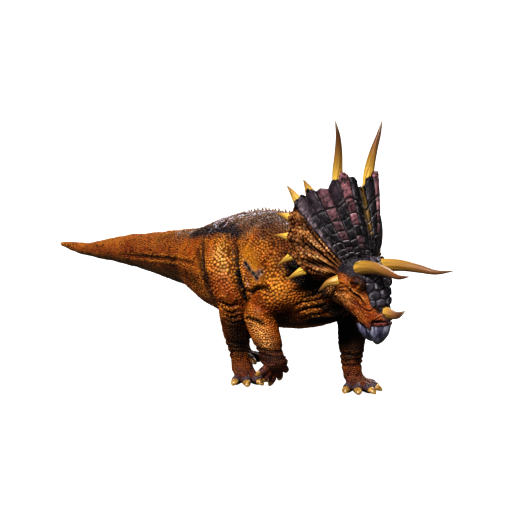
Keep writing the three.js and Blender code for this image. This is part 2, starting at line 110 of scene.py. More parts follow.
# Feet: sole point, toes, turn, tilt and spread of the fan
FEET = {
    "hind_right": ((165, -268, 0), 4, -16, 0, 1.0),
    "hind_left": ((-530, 270, 0), 4, 10, 0, 1.0),
    "fore_left": ((985, 250, 0), 5, -4, 0, 1.0),
    "fore_right": ((672, -388, 315), 5, -8, 104, 0.72),
}
TOE_FAN = {4: 104, 5: 132}
TOE = {"reach": 118, "length": 128, "height": 40}
CLAW_LENGTH = 92

FLESH = [
    "torso", "neck", "tail_base", "tail_end", "head", "lower_jaw", "leg_hind_right", "leg_hind_left", "leg_fore_left",
    "leg_fore_right"
]
COAT_DEPTH = 7.0
SKIN_VOXEL = 13.4
SMOOTHING_ROUNDS = 60
HOLLOW_RAYS, HOLLOW_REACH = 14, 0.5
DARKEST = 0.002  # no hide is quite black
SOLE_GAP = 0.002  # metres that skin and toes keep off the floor
SENSOR = 36
LEGS = [name for name in FLESH if name.startswith("leg_")]

EYE_LOW, EYE_HIGH = (np.array(c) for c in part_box("eye_right"))
SHIFT = (EYE_LOW + EYE_HIGH) / 2 - np.array(EYE["at"]) / 1000


def here(places):
    """Drawing millimetres to metres in the row frame."""
    return np.asarray(places, float) / 1000 + SHIFT


def mirrored(places):
    return np.asarray(places, float) * (1, -1, 1)


def unit(vectors):
    vectors = np.asarray(vectors, float)
    return vectors / np.maximum(np.linalg.norm(vectors, axis=-1, keepdims=True), 1e-9)


def smooth_step(low, high, value):
    share = np.clip((value - low) / (high - low), 0, 1)
    return share * share * (3 - 2 * share)


def bell(value, centre, width):
    return np.exp(-(((value - centre) / width) ** 2))


def dots(a, b):
    return np.einsum("ij,ij->i", a, b)


def compass(turn, rise):
    """The way that a turn and a rise in degrees point."""
    a, e = math.radians(turn), math.radians(rise)
    return np.array([math.sin(a) * math.cos(e), -math.cos(a) * math.cos(e), math.sin(e)])


def curve(points, share, even=False):
    """Smooth curve through points, at shares 0 to 1 counted in points; even ignores their spacing."""
    points = np.asarray(points, float)
    if points.ndim == 1:
        points = points[:, None]
    share = np.clip(np.atleast_1d(share), 0, 1)
    last = len(points) - 1
    start = np.minimum((share * last).astype(int), last - 1)
    t = (share * last - start)[:, None]
    padded = np.vstack([2 * points[0] - points[1], points, 2 * points[-1] - points[-2]])
    p0, p1, p2, p3 = (padded[start + k] for k in range(4))
    spans = ((p0, p1), (p1, p2), (p2, p3))
    gaps = [np.sqrt(np.linalg.norm(b - a, axis=1, keepdims=True)) for a, b in spans]
    d0, d1, d2 = (np.ones((len(t), 1)) if even else np.maximum(g, 1e-4) for g in gaps)
    t1 = ((p1 - p0) / d0 - (p2 - p0) / (d0 + d1) + (p2 - p1) / d1) * d1
    t2 = ((p2 - p1) / d1 - (p3 - p1) / (d1 + d2) + (p3 - p2) / d2) * d1
    return p1 + t * t1 + t**2 * (3 * (p2 - p1) - 2 * t1 - t2) + t**3 * (2 * (p1 - p2) + t1 + t2)


def ripple(points, size, seed=0, octaves=3):
    """Soft noise of about -1 to 1 at points in metres, from a few turned waves of the given size in millimetres."""
    turn = np.random.default_rng(seed)
    total = np.zeros(len(points))
    weight = 1.0
    scale = 1000.0 / size
    for _ in range(octaves):
        for _ in range(5):
            way = unit(turn.normal(size=3))
            other = unit(turn.normal(size=3))
            phase = turn.uniform(0, 6.283, 2)
            bend = np.sin(points @ other * scale * 4.1 + phase[1])
            total += weight * np.sin(points @ way * scale * 6.283 * turn.uniform(0.6, 1.2) + phase[0] + 1.6 * bend)
        weight *= 0.5
        scale *= 2.1
    return total / (5 * (2 - 2 * 0.5**octaves)) * 1.8


# Camera
CAMERA_TURN = math.radians(VIEW["azimuth"])
CAMERA_BACK = compass(VIEW["azimuth"], VIEW["elevation"])
CAMERA_RIGHT = np.array([math.cos(CAMERA_TURN), math.sin(CAMERA_TURN), 0])
CAMERA_UP = np.cross(CAMERA_BACK, CAMERA_RIGHT)
CAMERA_AT = here(VIEW["aim"]) + CAMERA_BACK * VIEW["distance"]


def sight_line(x, y):
    """Direction from the camera through a pixel of the photograph."""
    half = PICTURE / 2
    return unit(CAMERA_RIGHT * (x - half) - CAMERA_UP * (y - half) - CAMERA_BACK * VIEW["focal"])


def placed(name, data):
    """A new object in the scene."""
    piece = bpy.data.objects.new(name, data)
    bpy.context.collection.objects.link(piece)
    return piece


def make_camera():
    data = bpy.data.cameras.new("camera")
    data.sensor_width = SENSOR
    data.lens = SENSOR * VIEW["focal"] / PICTURE
    data.clip_end = 200
    camera = placed("camera", data)
    camera.location = CAMERA_AT
    camera.rotation_euler = Vector(CAMERA_BACK).to_track_quat("Z", "Y").to_euler()
    bpy.context.scene.camera = camera


# Mesh helpers
def finish_mesh(name, bm):
    mesh = bpy.data.meshes.new(name)
    bm.to_mesh(mesh)
    bm.free()
    mesh.polygons.foreach_set("use_smooth", np.ones(len(mesh.polygons), bool))
    return placed(name, mesh)


def bent_sheet(bm, columns, rows, shape):
    """Adds a grid to a bmesh, bent by shape(u, v) with u and v from 0 to 1, its meeting edges merged."""
    made = bmesh.ops.create_grid(bm, x_segments=columns, y_segments=rows, size=1.0)["verts"]
    uv = np.array([v.co[:2] for v in made]) * 0.5 + 0.5
    places = shape(uv[:, 0], uv[:, 1])
    for v, p in zip(made, places):
        v.co = p
    faces = list({f for v in made for f in v.link_faces})
    bmesh.ops.remove_doubles(bm, verts=made, dist=2e-5)
    faces = [f for f in faces if f.is_valid]
    bmesh.ops.recalc_face_normals(bm, faces=faces)


def lofted(path, sizes, caps=(0.15, 0.15), side=(0, 1, 0), relief=None, even=False):
    """Shape of a closed form: ovals with half sizes (side, up, down) along a path, both ends rounded."""
    path = np.asarray(path, float)
    sizes = np.asarray(sizes, float)

    def shape(u, v):
        v = (1 - np.cos(np.pi * v)) / 2
        centre = curve(path, v, even)
        along = unit(curve(path, np.minimum(v + 0.004, 1), even) - curve(path, np.maximum(v - 0.004, 0), even))
        across = np.asarray(side, float) - along * (along @ np.asarray(side, float))[:, None]
        across = unit(across)
        over = np.cross(along, across)
        size = curve(sizes, v, True)
        near = np.clip(v / caps[0], 0, 1)
        far = np.clip((1 - v) / caps[1], 0, 1)
        closing = np.sqrt(1 - (1 - near) ** 2) * np.sqrt(1 - (1 - far) ** 2)
        angle = 2 * np.pi * u
        swell = closing * (1 if relief is None else relief(angle, v))
        upright = np.where(np.sin(angle) > 0, size[:, 1], size[:, 2])
        return here(
            centre + across * (size[:, 0] * np.cos(angle) * swell)[:, None]
            + over * (upright * np.sin(angle) * swell)[:, None]
        )

    return shape


def attribute(piece, name, values, kind="FLOAT_COLOR"):
    layer = piece.data.attributes.new(name, kind, "POINT")
    if kind == "FLOAT_COLOR":
        full = np.ones((len(values), 4), np.float32)
        full[:, :3] = values
        layer.data.foreach_set("color", full.ravel())
    else:
        layer.data.foreach_set("value", np.asarray(values, np.float32))


def column_of(items, key, kind=float, width=3):
    """One value of each of a mesh's items, as rows of an array."""
    values = np.zeros(len(items) * width, kind)
    items.foreach_get(key, values)
    return values.reshape(-1, width)


def places_of(mesh):
    return column_of(mesh.vertices, "co")


def normals_of(mesh):
    return column_of(mesh.vertices, "normal")


def set_places(mesh, places):
    mesh.vertices.foreach_set("co", np.asarray(places, np.float32).ravel())
    mesh.update()


def point_tree(points):
    """Finds the nearest of some points."""
    tree = KDTree(len(points))
    for i, p in enumerate(points):
        tree.insert(p, i)
    tree.balance()
    return tree


def face_tree(*meshes):
    """Finds the nearest face, or the face that a ray meets."""
    bm = bmesh.new()
    for mesh in meshes:
        bm.from_mesh(mesh)
    tree = BVHTree.FromBMesh(bm)
    bm.free()
    return tree


def srgb(code):
    """An sRGB hex colour as linear values."""
    parts = [int(code[i : i + 2], 16) / 255 for i in (1, 3, 5)]
    return np.array([c / 12.92 if c <= 0.04045 else ((c + 0.055) / 1.055) ** 2.4 for c in parts])


def paint_bare(piece, colour):
    """Marks a piece of hide that has no coat."""
    attribute(piece, "MarkingAndShade", np.clip(colour, DARKEST, 1))
    attribute(piece, "Bare", np.ones(len(colour)), "FLOAT")


def blend(colour, other, share):
    share = np.clip(np.asarray(share, float), 0, 1)
    if np.ndim(share) == 1:
        share = share[:, None]
    return colour * (1 - share) + other * share


# Skin: the flesh solids made one, smoothed, folded and shrunk by the coat's depth
def merged_flesh():
    bm = bmesh.new()
    for name in FLESH:
        bm.from_mesh(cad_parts[name].data)
    flange = np.array([centre for centre, _ in CHEEK_FLANGE], float)
    for path in (flange, mirrored(flange)):
        bent_sheet(bm, 24, 40, lofted(path, [size for _, size in CHEEK_FLANGE], (0.12, 0.12)))
    bmesh.ops.remove_doubles(bm, verts=bm.verts[:], dist=1e-6)
    piece = finish_mesh("skin", bm)
    remesh = piece.modifiers.new("one_skin", "REMESH")
    remesh.mode = "VOXEL"
    remesh.voxel_size = SKIN_VOXEL / 1000
    seen = piece.evaluated_get(bpy.context.evaluated_depsgraph_get())
    whole = bpy.data.meshes.new_from_object(seen)
    piece.modifiers.clear()
    bm = bmesh.new()
    bm.from_mesh(whole)
    bpy.data.meshes.remove(whole)
    keep_largest(bm)
    head_edges = [e for e in bm.edges if all(is_fine(v.co) for v in e.verts)]
    bmesh.ops.subdivide_edges(bm, edges=head_edges, cuts=1, use_grid_fill=True)
    bm.to_mesh(piece.data)
    bm.free()
    return piece


def is_fine(place):
    """The face gets a finer mesh."""
    x, y, z = (place - Vector(SHIFT)) * 1000
    return (x > 1265 or (x > 1190 and abs(y) > 165)) and z > 480


def keep_largest(bm):
    left = set(bm.verts)
    best = []
    while left:
        stack = [left.pop()]
        island = list(stack)
        while stack:
            for e in stack.pop().link_edges:
                for w in e.verts:
                    if w in left:
                        left.remove(w)
                        stack.append(w)
                        island.append(w)
        if len(island) > len(best):
            best = island
    best = set(best)
    bmesh.ops.delete(bm, geom=[v for v in bm.verts if v not in best], context="VERTS")


class Web:
    """The skin's edges, to spread values to neighbours."""

    def __init__(self, mesh):
        ends = column_of(mesh.edges, "vertices", np.int64, 2)
        self.a, self.b = ends.T
        self.count = np.bincount(ends.ravel(), minlength=len(mesh.vertices)).astype(float)

    def mean(self, values):
        many = len(values)
        columns = values.reshape(many, -1).T
        total = [np.bincount(self.a, c[self.b], many) + np.bincount(self.b, c[self.a], many) for c in columns]
        return (np.stack(total, 1) / self.count[:, None]).reshape(values.shape)

    def spread(self, values, rounds, strength=0.5):
        for _ in range(rounds):
            values = values + strength * (self.mean(values) - values)
        return values


def shares_by_node(places):
    """How much each point belongs to each flesh node, from the nearest solid."""
    distance = []
    for name in FLESH:
        tree = face_tree(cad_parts[name].data)
        distance.append([tree.find_nearest(Vector(p))[3] for p in places])
    nearest = np.argmin(np.array(distance), axis=0)
    return {name: (nearest == i).astype(float) for i, name in enumerate(FLESH)}


make_camera()
skin = merged_flesh()
web = Web(skin.data)
place = places_of(skin.data)
belongs = shares_by_node(place)
belongs = {k: web.spread(v, 14) for k, v in belongs.items()}
limb = sum(belongs[name] for name in LEGS)
skull = belongs["head"] + belongs["lower_jaw"]
drawn = (place - SHIFT) * 1000
foot = smooth_step(210, 110, drawn[:, 2]) * limb
foot = np.maximum(foot, smooth_step(420, 330, drawn[:, 2]) * belongs["leg_fore_right"])
tail_tip = smooth_step(-2250, -2600, drawn[:, 0])
soften = np.clip(1 - 0.7 * skull - 0.6 * limb - 0.28 * foot - 0.85 * tail_tip, 0.05, 1)

# Facets of the solids are smoothed away, more on the trunk than on face and feet.
for step in range(SMOOTHING_ROUNDS):
    reach = np.clip(soften * SMOOTHING_ROUNDS - step, 0, 1)[:, None]
    place = place + 0.5 * reach * (web.mean(place) - place)
set_places(skin.data, place)


def foot_pose(plan):
    turn, tilt = math.radians(plan[2]), math.radians(plan[3])
    about = np.array([[math.cos(turn), -math.sin(turn), 0], [math.sin(turn), math.cos(turn), 0], [0, 0, 1]])
    over = np.array([[math.cos(tilt), 0, math.sin(tilt)], [0, 1, 0], [-math.sin(tilt), 0, math.cos(tilt)]])
    return about @ over


# The lifted foot keeps only its palm; its toes are pieces of their own.
PALM = {"out": 62, "up": 44, "radius": 78}
lifted = FEET["fore_right"]
palm = here(np.array(lifted[0]) + foot_pose(lifted) @ np.array([PALM["out"], 0, PALM["up"]]))
reach = place - palm
far = np.linalg.norm(reach, axis=1) * 1000
held = PALM["radius"] + 0.1 * np.maximum(far - PALM["radius"], 0)
share = smooth_step(0, 45, reach @ foot_pose(lifted)[:, 0] * 1000) * belongs["leg_fore_right"] * (far > PALM["radius"])
place = place + reach * (share * (held / np.maximum(far, 1) - 1))[:, None]
place = place + 0.5 * (web.spread(place, 6) - place) * (share > 0)[:, None]
set_places(skin.data, place)


class Surface:
    """A mesh as it is now, to find points on it."""

    def __init__(self, mesh):
        self.places = places_of(mesh)
        self.normals = normals_of(mesh)
        mesh.calc_loop_triangles()
        self.corners = column_of(mesh.loop_triangles, "vertices", np.int64)
        self.tree = face_tree(mesh)
        self.near = point_tree(self.places)

    def seen(self, pixels):
        """Points of the skin under pixels of the photograph."""
        points = []
        for x, y in pixels:
            hit = self.tree.ray_cast(Vector(CAMERA_AT), Vector(sight_line(x, y)))[0]
            if hit is not None:
                points.append(hit)
        return np.array(points)

    def snapped(self, points):
        return np.array([self.tree.find_nearest(Vector(p))[0] for p in points])

    def ring(self, centre, axis, count=48):
        """Points on the skin round a limb, square to its axis."""
        axis = unit(axis)
        first = unit(np.cross(axis, (0.3, 1, 0.1)))
        second = np.cross(axis, first)
        points = []
        for angle in np.linspace(0, 2 * np.pi, count):
            way = first * math.cos(angle) + second * math.sin(angle)
            hit = self.tree.ray_cast(Vector(centre), Vector(way), 0.35)[0]
            if hit is not None:
                points.append(hit)
        return np.array(points)

    def around(self, points, reach):
        """Distance of each skin vertex within reach of a line of points, and how far along the line it is."""
        distance = np.full(len(self.places), np.inf)
        along = np.zeros(len(self.places))
        for k, p in enumerate(points):
            for _, i, d in self.near.find_range(p, reach):
                if d < distance[i]:
                    distance[i] = d
                    along[i] = k / max(1, len(points) - 1)
        return distance, along


def dense(points, spacing=0.007):
    points = np.asarray(points, float)
    if len(points) < 2:
        return points
    length = np.linalg.norm(np.diff(points, axis=0), axis=1).sum()
    return curve(points, np.linspace(0, 1, max(3, int(length / spacing))))


surface = Surface(skin.data)
push = np.zeros(len(place))
# crease: how far into a fold's groove each point lies, painted later as shade
crease = np.zeros(len(place))


def fold(points, width, depth, lip=0.35, fade=True, shade=1.0):
    """A groove along points on the skin with a raised lip on each side; width and depth in millimetres."""
    if len(points) < 2:
        return
    w = width / 1000
    d, along = surface.around(dense(points), 4 * w)
    ends = np.sin(np.pi * np.clip(along, 0.02, 0.98)) ** 0.6 if fade else np.ones(len(d))
    dent = bell(d, 0, w) * ends
    rise = bell(d, 2.1 * w, w) * ends
    np.minimum(push, np.where(dent > 0.05, -depth * dent, push), out=push)
    np.add(push, lip * depth * rise * (dent < 0.2), out=push)
    # marks the groove for painted shade
    np.maximum(crease, shade * dent, out=crease)


def bulge(points, width, height):
    """A soft swelling along points on the skin."""
    w = width / 1000
    np.add(push, height * bell(surface.around(dense(points), 2.6 * w)[0], 0, w), out=push)


def both_sides(points):
    if len(points) == 0:
        return [points]
    other = surface.snapped(mirrored(points - SHIFT) + SHIFT)
    return [points, other]


# Folds that the photograph shows, as pixels; those on the trunk and head are repeated on the far side.
BODY_FOLDS = [
    # (pixels, width, depth)
    ([(235, 242), (236, 252), (237, 266), (239, 278), (243, 291), (245, 302)], 26, 46),
    ([(246, 290), (251, 293), (257, 289), (264, 287), (268, 290), (271, 297)], 17, 26),
    ([(204, 236), (203, 250), (203, 262), (205, 275), (210, 290)], 20, 18),
    ([(191, 268), (200, 276), (208, 287), (216, 300)], 13, 16),
    ([(188, 274), (197, 284), (206, 294)], 11, 12),
    ([(120, 255), (145, 257), (170, 259), (190, 263), (199, 270)], 16, 13),
    ([(300, 299), (310, 297), (322, 292)], 13, 20),
    ([(293, 306), (303, 303), (314, 301), (326, 297)], 13, 20),
    ([(295, 313), (306, 309), (318, 307), (329, 303)], 13, 20),
    ([(299, 319), (310, 315), (321, 314), (331, 309)], 12, 18),
    ([(284, 262), (290, 272), (299, 280)], 22, 22),
    ([(328, 301), (337, 308), (345, 313), (350, 321)], 32, 46),
]
HEAD_FOLDS = [
    ([(343, 285), (347, 287), (352, 292), (358, 297), (363, 303), (365, 307)], 9, 24),
    ([(357, 303), (362, 308), (367, 311), (371, 311), (374, 308)], 6, 14),
    ([(333, 286), (339, 283), (345, 284)], 7, 16),
    ([(347, 284), (353, 289), (360, 293), (366, 299)], 5, 9),
    ([(350, 299), (357, 304), (362, 312), (365, 318)], 5, 8),
    ([(372, 322), (377, 319), (381, 317), (385, 318)], 5, 8),
    ([(369, 328), (363, 323), (357, 317), (352, 312), (347, 309)], 6, 12),
    ([(336, 289), (342, 288), (348, 288)], 7, 9),
    ([(352, 285), (356, 288), (361, 291)], 4, 5),
    ([(349, 279), (352, 276), (357, 274)], 5, 6),
    ([(346, 299), (352, 303), (358, 308)], 5, 5),
]
LEG_FOLDS = [
    ([(220, 301), (229, 306), (238, 304)], 10, 22),
    ([(218, 304), (225, 311), (232, 313), (240, 310)], 10, 28),
    ([(221, 312), (228, 317), (234, 318), (240, 316)], 10, 26),
    ([(225, 320), (232, 323), (239, 322)], 9, 18),
    ([(243, 317), (250, 319), (258, 322), (267, 327)], 11, 34),
    ([(249, 300), (254, 303), (261, 303)], 8, 4),
    ([(262, 352), (270, 358), (279, 357), (286, 351)], 9, 20),
    ([(259, 356), (267, 363), (278, 363), (287, 356)], 8, 18),
]
for pixels, width, depth in BODY_FOLDS + HEAD_FOLDS:
    for line in both_sides(surface.seen(pixels)):
        fold(line, width, depth)
for pixels, width, depth in LEG_FOLDS:
    fold(surface.seen(pixels), width, depth)

# Wrinkles round the limbs at knee, elbow, ankle and wrist: centre, axis, width, depth
LIMB_WRINKLES = [
    ((100, -300, 345), (0.1, 0.1, 1), 12, 10), ((105, -292, 300), (0, 0.1, 1), 10, 9),
    ((115, -285, 255), (-0.2, 0.1, 1), 11, 10),
    ((-95, 350, 640), (0.5, 0.05, 1), 14, 16), ((-130, 348, 590), (0.5, 0.05, 1), 12, 14),
    ((-165, 345, 560), (0.6, 0.05, 1), 11, 12),
    ((-470, 297, 330), (0.8, 0.1, 0.9), 12, 10), ((-515, 288, 270), (0.6, 0.1, 1), 11, 10),
    ((-550, 280, 220), (0.2, 0, 1), 11, 10),
    ((862, 318, 640), (-0.2, 0.1, 1), 14, 14), ((885, 300, 585), (-0.2, 0.1, 1), 12, 12),
    ((935, 262, 300), (0, 0, 1), 12, 10), ((940, 256, 255), (-0.1, 0, 1), 11, 10),
    ((945, 252, 210), (-0.1, 0, 1), 11, 9),
    ((652, -396, 385), (0.1, 0, 1), 12, 12), ((662, -392, 345), (0.1, 0, 1), 11, 11),
    ((655, -390, 300), (-0.1, 0, 1), 10, 9),
]
for centre, axis, width, depth in LIMB_WRINKLES:
    fold(surface.ring(here(centre), axis), width, depth, fade=False, shade=0.7)

# Muscle and bone under the hide
BULGES = [
    ([(218, 262), (222, 280), (228, 295)], 75, 16),
    ([(262, 300)], 60, 12),
    ([(258, 330), (266, 345)], 50, 8),
    ([(249, 309), (256, 312), (263, 316)], 42, 16),
    ([(222, 297), (230, 300), (237, 298)], 34, 14),
]
for pixels, width, height in BULGES:
    bulge(surface.seen(pixels), width, height)
for pixels, width, height in [
    ([(250, 258)], 90, 14), ([(275, 262), (280, 285)], 85, 18), ([(352, 295)], 40, 10), ([(364, 300)], 24, 7)
]:
    for line in both_sides(surface.seen(pixels)):
        bulge(line, width, height)

for hand in (1, -1):
    away = np.linalg.norm(place - here(np.array(EYE["at"]) * (1, hand, 1)), axis=1) * 1000
    push += 15 * bell(away, 62, 20)
bulge(surface.snapped([here((1590, 0, 690))]), 62, 34)

loose = np.clip(1 - skull - foot, 0, 1)
push += loose * 5 * ripple(place, 260, 3) + (1 - 0.5 * foot) * 2 * ripple(place, 90, 4)
push += 8 * belongs["tail_end"] + 8 * belongs["leg_fore_left"] * smooth_step(120, 200, drawn[:, 2])
push = web.spread(push, 1)
normal = surface.normals
place = place + normal * ((push - COAT_DEPTH * (1 - 0.7 * tail_tip)) / 1000)[:, None]
place[:, 2] = np.maximum(place[:, 2], SOLE_GAP)
set_places(skin.data, place)
crease = web.spread(crease, 1)
surface = Surface(skin.data)
normal = surface.normals
drawn = (place - SHIFT) * 1000

# Frill: a shield bent from a grid, front and back, with pillowed scutes on the crest and tubercles at the sides
def frill_front(out, round_):
    """A point of the bare front: out from root 0 to rim 1, round from right -1 to left 1."""
    share = np.abs(round_)
    root = curve(FRILL_ROOT, share)
    rim = curve(FRILL_RIM, share)
    reach = rim - root
    lobe = sum(bell(share, at, 0.035) for at, _, _ in RIM_SPIKES)
    point = root + reach * out[:, None] + unit(reach) * (RIM_LOBE * lobe * np.clip(out, 0, 1) ** 6)[:, None]
    swell = FRILL_BULGE * np.sin(np.pi * np.clip(out, 0, 1))
    point[:, 0] += 0.7 * swell
    point[:, 1] -= swell * np.sin(np.pi * share)
    point[:, 1] *= np.where(round_ > 0, -1, 1)
    return point


def frill_normal(out, round_):
    step = 0.01
    outward = frill_front(np.minimum(1, out + step), round_) - frill_front(np.minimum(1, out) - step, round_)
    sideways = frill_front(out, np.minimum(1, round_ + step)) - frill_front(out, np.maximum(-1, round_ - step))
    return unit(np.cross(sideways, outward))


SCUTE_COLUMNS = [0.0, 0.035, 0.10, 0.17, 0.245, 0.33, 0.415, 0.5]  # edges round the rim, each way
SCUTE_ROWS = [-0.01, 0.045, 0.095, 0.155, 0.225, 0.32, 0.44, 0.575, 0.735, 1.08]


def scute_cell(out, share):
    """Column and row of a scute, and how far a point is from its nearest edge, 0 at the groove to 1 in the middle."""
    column = np.clip(np.searchsorted(SCUTE_COLUMNS, share, side="right") - 1, 0, len(SCUTE_COLUMNS) - 2)
    edges = np.array(SCUTE_COLUMNS)
    across = (share - edges[column]) / (edges[column + 1] - edges[column])
    shifted = out + 0.012 * np.sin(column * 2.4 + 1)
    row = np.clip(np.searchsorted(SCUTE_ROWS, shifted, side="right") - 1, 0, len(SCUTE_ROWS) - 2)
    lines = np.array(SCUTE_ROWS)
    along = np.clip((shifted - lines[row]) / (lines[row + 1] - lines[row]), 0, 1)
    inside = (np.clip(2 * np.minimum(way, 1 - way), 0, 1) for way in (across, along))
    return column, row, *inside


def frill_spokes(out, share):
    """Ridges of loose hide that fan from the cheek, -1 to 1."""
    return np.sin(share * 58 + 2.6 * np.sin(4 * out + 9 * share)) + 0.4 * np.sin(share * 131 + 7 * out)


def frill_relief(out, round_):
    share = np.abs(round_)
    column, row, across, along = scute_cell(out, share)
    on_crest = smooth_step(CREST_EDGE, CREST_EDGE - 0.01, share)
    block = np.minimum(smooth_step(0.02, 0.26, across), smooth_step(0.02, 0.2, along))
    keel = across * smooth_step(0, 0.6, along)
    jitter = np.random.default_rng(4).uniform(-3, 5, (2, 12, 12))[(round_ > 0).astype(int), column, row]
    roll = np.sqrt(np.clip(across * (2 - across), 0, 1)) * smooth_step(0.55, 0.95, out)
    scutes = ((13 + jitter) * block + 7 * keel + 20 * roll) * (0.5 + 0.5 * out)
    collar = sum(bell(share, at, 0.02) for at, _, _ in RIM_SPIKES if at > 0.55)
    rim_roll = 32 * bell(share, 0.517, 0.024) * smooth_step(-0.05, 0.3, out)
    edge_roll = 13 * bell(out, 0.975, 0.025)
    beyond_crest = smooth_step(0.535, 0.58, share)
    loose = 15 * frill_spokes(out, share) * smooth_step(0.08, 0.3, out) * smooth_step(1.0, 0.7, out)
    lumps = 7 * np.sin(out * 40 + 9 * np.sin(share * 30)) * smooth_step(0.55, 0.9, out)
    return (
        scutes * on_crest + rim_roll + edge_roll * (1 - 0.7 * on_crest)
        + (loose + lumps + 22 * collar * smooth_step(0.78, 0.95, out)) * beyond_crest
    )


def scallop(out, round_):
    """The crest's columns end in rounded lobes at the rim, and the side's edge is ragged."""
    share = np.abs(round_)
    _, _, across, _ = scute_cell(out, share)
    lobes = 0.034 * (across - 0.55) * smooth_step(CREST_EDGE, CREST_EDGE - 0.02, share)
    ragged = 0.014 * np.sin(share * 170) * smooth_step(0.55, 0.62, share) * smooth_step(1, 0.97, share)
    return out + (lobes + ragged) * smooth_step(0.86, 1.0, out)


def make_frill():
    bm = bmesh.new()

    def front(u, v):
        round_ = 2 * u - 1
        out = scallop(v, round_)
        return here(frill_front(out, round_) + frill_normal(v, round_) * frill_relief(v, round_)[:, None])

    def back(u, v):
        round_ = 2 * u - 1
        thick = FRILL_THICKNESS["root"] * (1 - v) + FRILL_THICKNESS["rim"] * v
        edge = np.clip(1 - np.abs(round_) ** 8, 0, 1) ** 0.5 * smooth_step(1.03, 0.82, v)
        wrinkle = 6 * np.sin(v * 34 + 3 * np.sin(round_ * 9)) * smooth_step(0.1, 0.4, v) * smooth_step(1, 0.8, v)
        depth = thick * (0.3 + 0.7 * edge) + wrinkle
        return here(frill_front(scallop(v, round_), round_) - frill_normal(v, round_) * depth[:, None])

    bent_sheet(bm, 400, 130, front)
    bent_sheet(bm, 200, 65, back)
    bmesh.ops.bridge_loops(bm, edges=[e for e in bm.edges if e.is_boundary])
    bmesh.ops.recalc_face_normals(bm, faces=bm.faces[:])
    return finish_mesh("frill_shield", bm)


frill = make_frill()


def frill_places(points):
    """Where points lie on the shield: out and round."""
    o, r = (g.ravel() for g in np.meshgrid(np.linspace(0, 1, 131), np.linspace(-1, 1, 401), indexing="ij"))
    bare = here(frill_front(o, r))
    near = point_tree(bare)
    index = np.array([near.find(p)[1] for p in points])
    return o[index], r[index]


frill_ground = Surface(frill.data)
frill_out, frill_round = frill_places(frill_ground.places)


def frill_colours():
    """Colour of the shield at its points, from where they lie on it."""
    co, out, round_ = frill_ground.places, frill_out, frill_round
    share = np.abs(round_)
    facing = dots(frill_ground.normals, frill_normal(out, round_))
    column, row, across, along = scute_cell(out, share)
    chance = np.random.default_rng(5).random((2, 12, 12))[(round_ > 0).astype(int), column, row]
    noise = ripple(co, 120, 31)
    slate = blend(srgb("#0b090d"), srgb("#242025"), chance)
    slate = blend(slate, srgb("#432f3a"), 0.75 * (column >= 3) * smooth_step(0.55, 0.9, out) * (0.5 + 0.5 * noise))
    slate = blend(slate, srgb("#4b4448"), 0.5 * smooth_step(0.1, 0.9, ripple(co, 34, 33)))
    pink = blend(srgb("#573239"), srgb("#9a6e72"), 0.5 * chance + 0.4 + 0.5 * ripple(co, 40, 35))
    crest = blend(
        slate, pink,
        np.select([column == 2, column == 4], [0.9, 0.5]) * smooth_step(0.35, 0.8, out + 0.3 * chance)
        * smooth_step(-0.7, 0.1, ripple(co, 55, 36))
    )
    crest = blend(
        crest, srgb("#7d6228"), 0.7 * smooth_step(0.034, 0.016, share) * smooth_step(0.3, 0.5, out + 0.2 * noise)
    )
    # Painted highlight on the scutes' pale edges, and painted shade, near black, in the grooves between them
    groove = np.minimum(smooth_step(0, 0.2, across), smooth_step(0, 0.16, along))
    edge = bell(np.minimum(across, along * 1.3), 0.2, 0.06)
    crest = blend(crest, srgb("#a39b9f"), 0.75 * edge * smooth_step(-0.5, 0.6, ripple(co, 60, 34)))
    crest = blend(crest, srgb("#080608"), 0.9 * (1 - groove))
    ridge = bell(share, 0.515, 0.03)
    crest = blend(crest, blend(srgb("#241c21"), srgb("#8a7b80"), 0.4 + 0.8 * ripple(co, 40, 32)), ridge)
    side = blend(srgb("#6b3f20"), srgb("#9c6c3a"), 0.5 + 0.6 * noise)
    # The loose folds of the sides: painted highlight on their ridges and painted shade in their troughs
    side = blend(
        side, srgb("#d0a36a"), 0.75 * smooth_step(0.2, 1.1, frill_spokes(out, share)) * smooth_step(0.75, 0.5, out)
    )
    side = blend(
        side, srgb("#1f0d06"), 0.92 * smooth_step(0.1, -0.9, frill_spokes(out, share)) * smooth_step(1.0, 0.7, out)
    )
    side = blend(side, srgb("#3d2012"), 0.6 * smooth_step(0.4, 0.15, out))
    colour = blend(crest, side, smooth_step(0.542, 0.56, share))
    behind = blend(srgb("#6d4020"), srgb("#352012"), 0.5 + 0.6 * noise)
    return np.clip(blend(colour, behind, smooth_step(0.1, -0.3, facing)), DARKEST, 1)


frill_marking_and_shade = frill_colours()
attribute(frill, "MarkingAndShade", frill_marking_and_shade)
layer = frill.data.uv_layers.new(name="Shield")
corner_of = column_of(frill.data.loops, "vertex_index", np.int64, 1)[:, 0]
layer.data.foreach_set("uv", np.stack([frill_round / 2 + 0.5, frill_out], 1)[corner_of].astype(np.float32).ravel())


# Markings: what colour the hide has at a point, with painted light and shade laid into it
OCHRE = srgb("#bb8330")
ORANGE = srgb("#9c5012")
RUST = srgb("#7a350e")
UMBER = srgb("#45200b")
SEPIA = srgb("#1d0c05")
# near black for painted shade and painted shadow
SHADE_BLACK = srgb("#070303")
NAVY = srgb("#15161f")
ASH = srgb("#bdbcc3")
ROSE = srgb("#7d4a48")
OLIVE = srgb("#454225")
SLATE = srgb("#2e2a31")


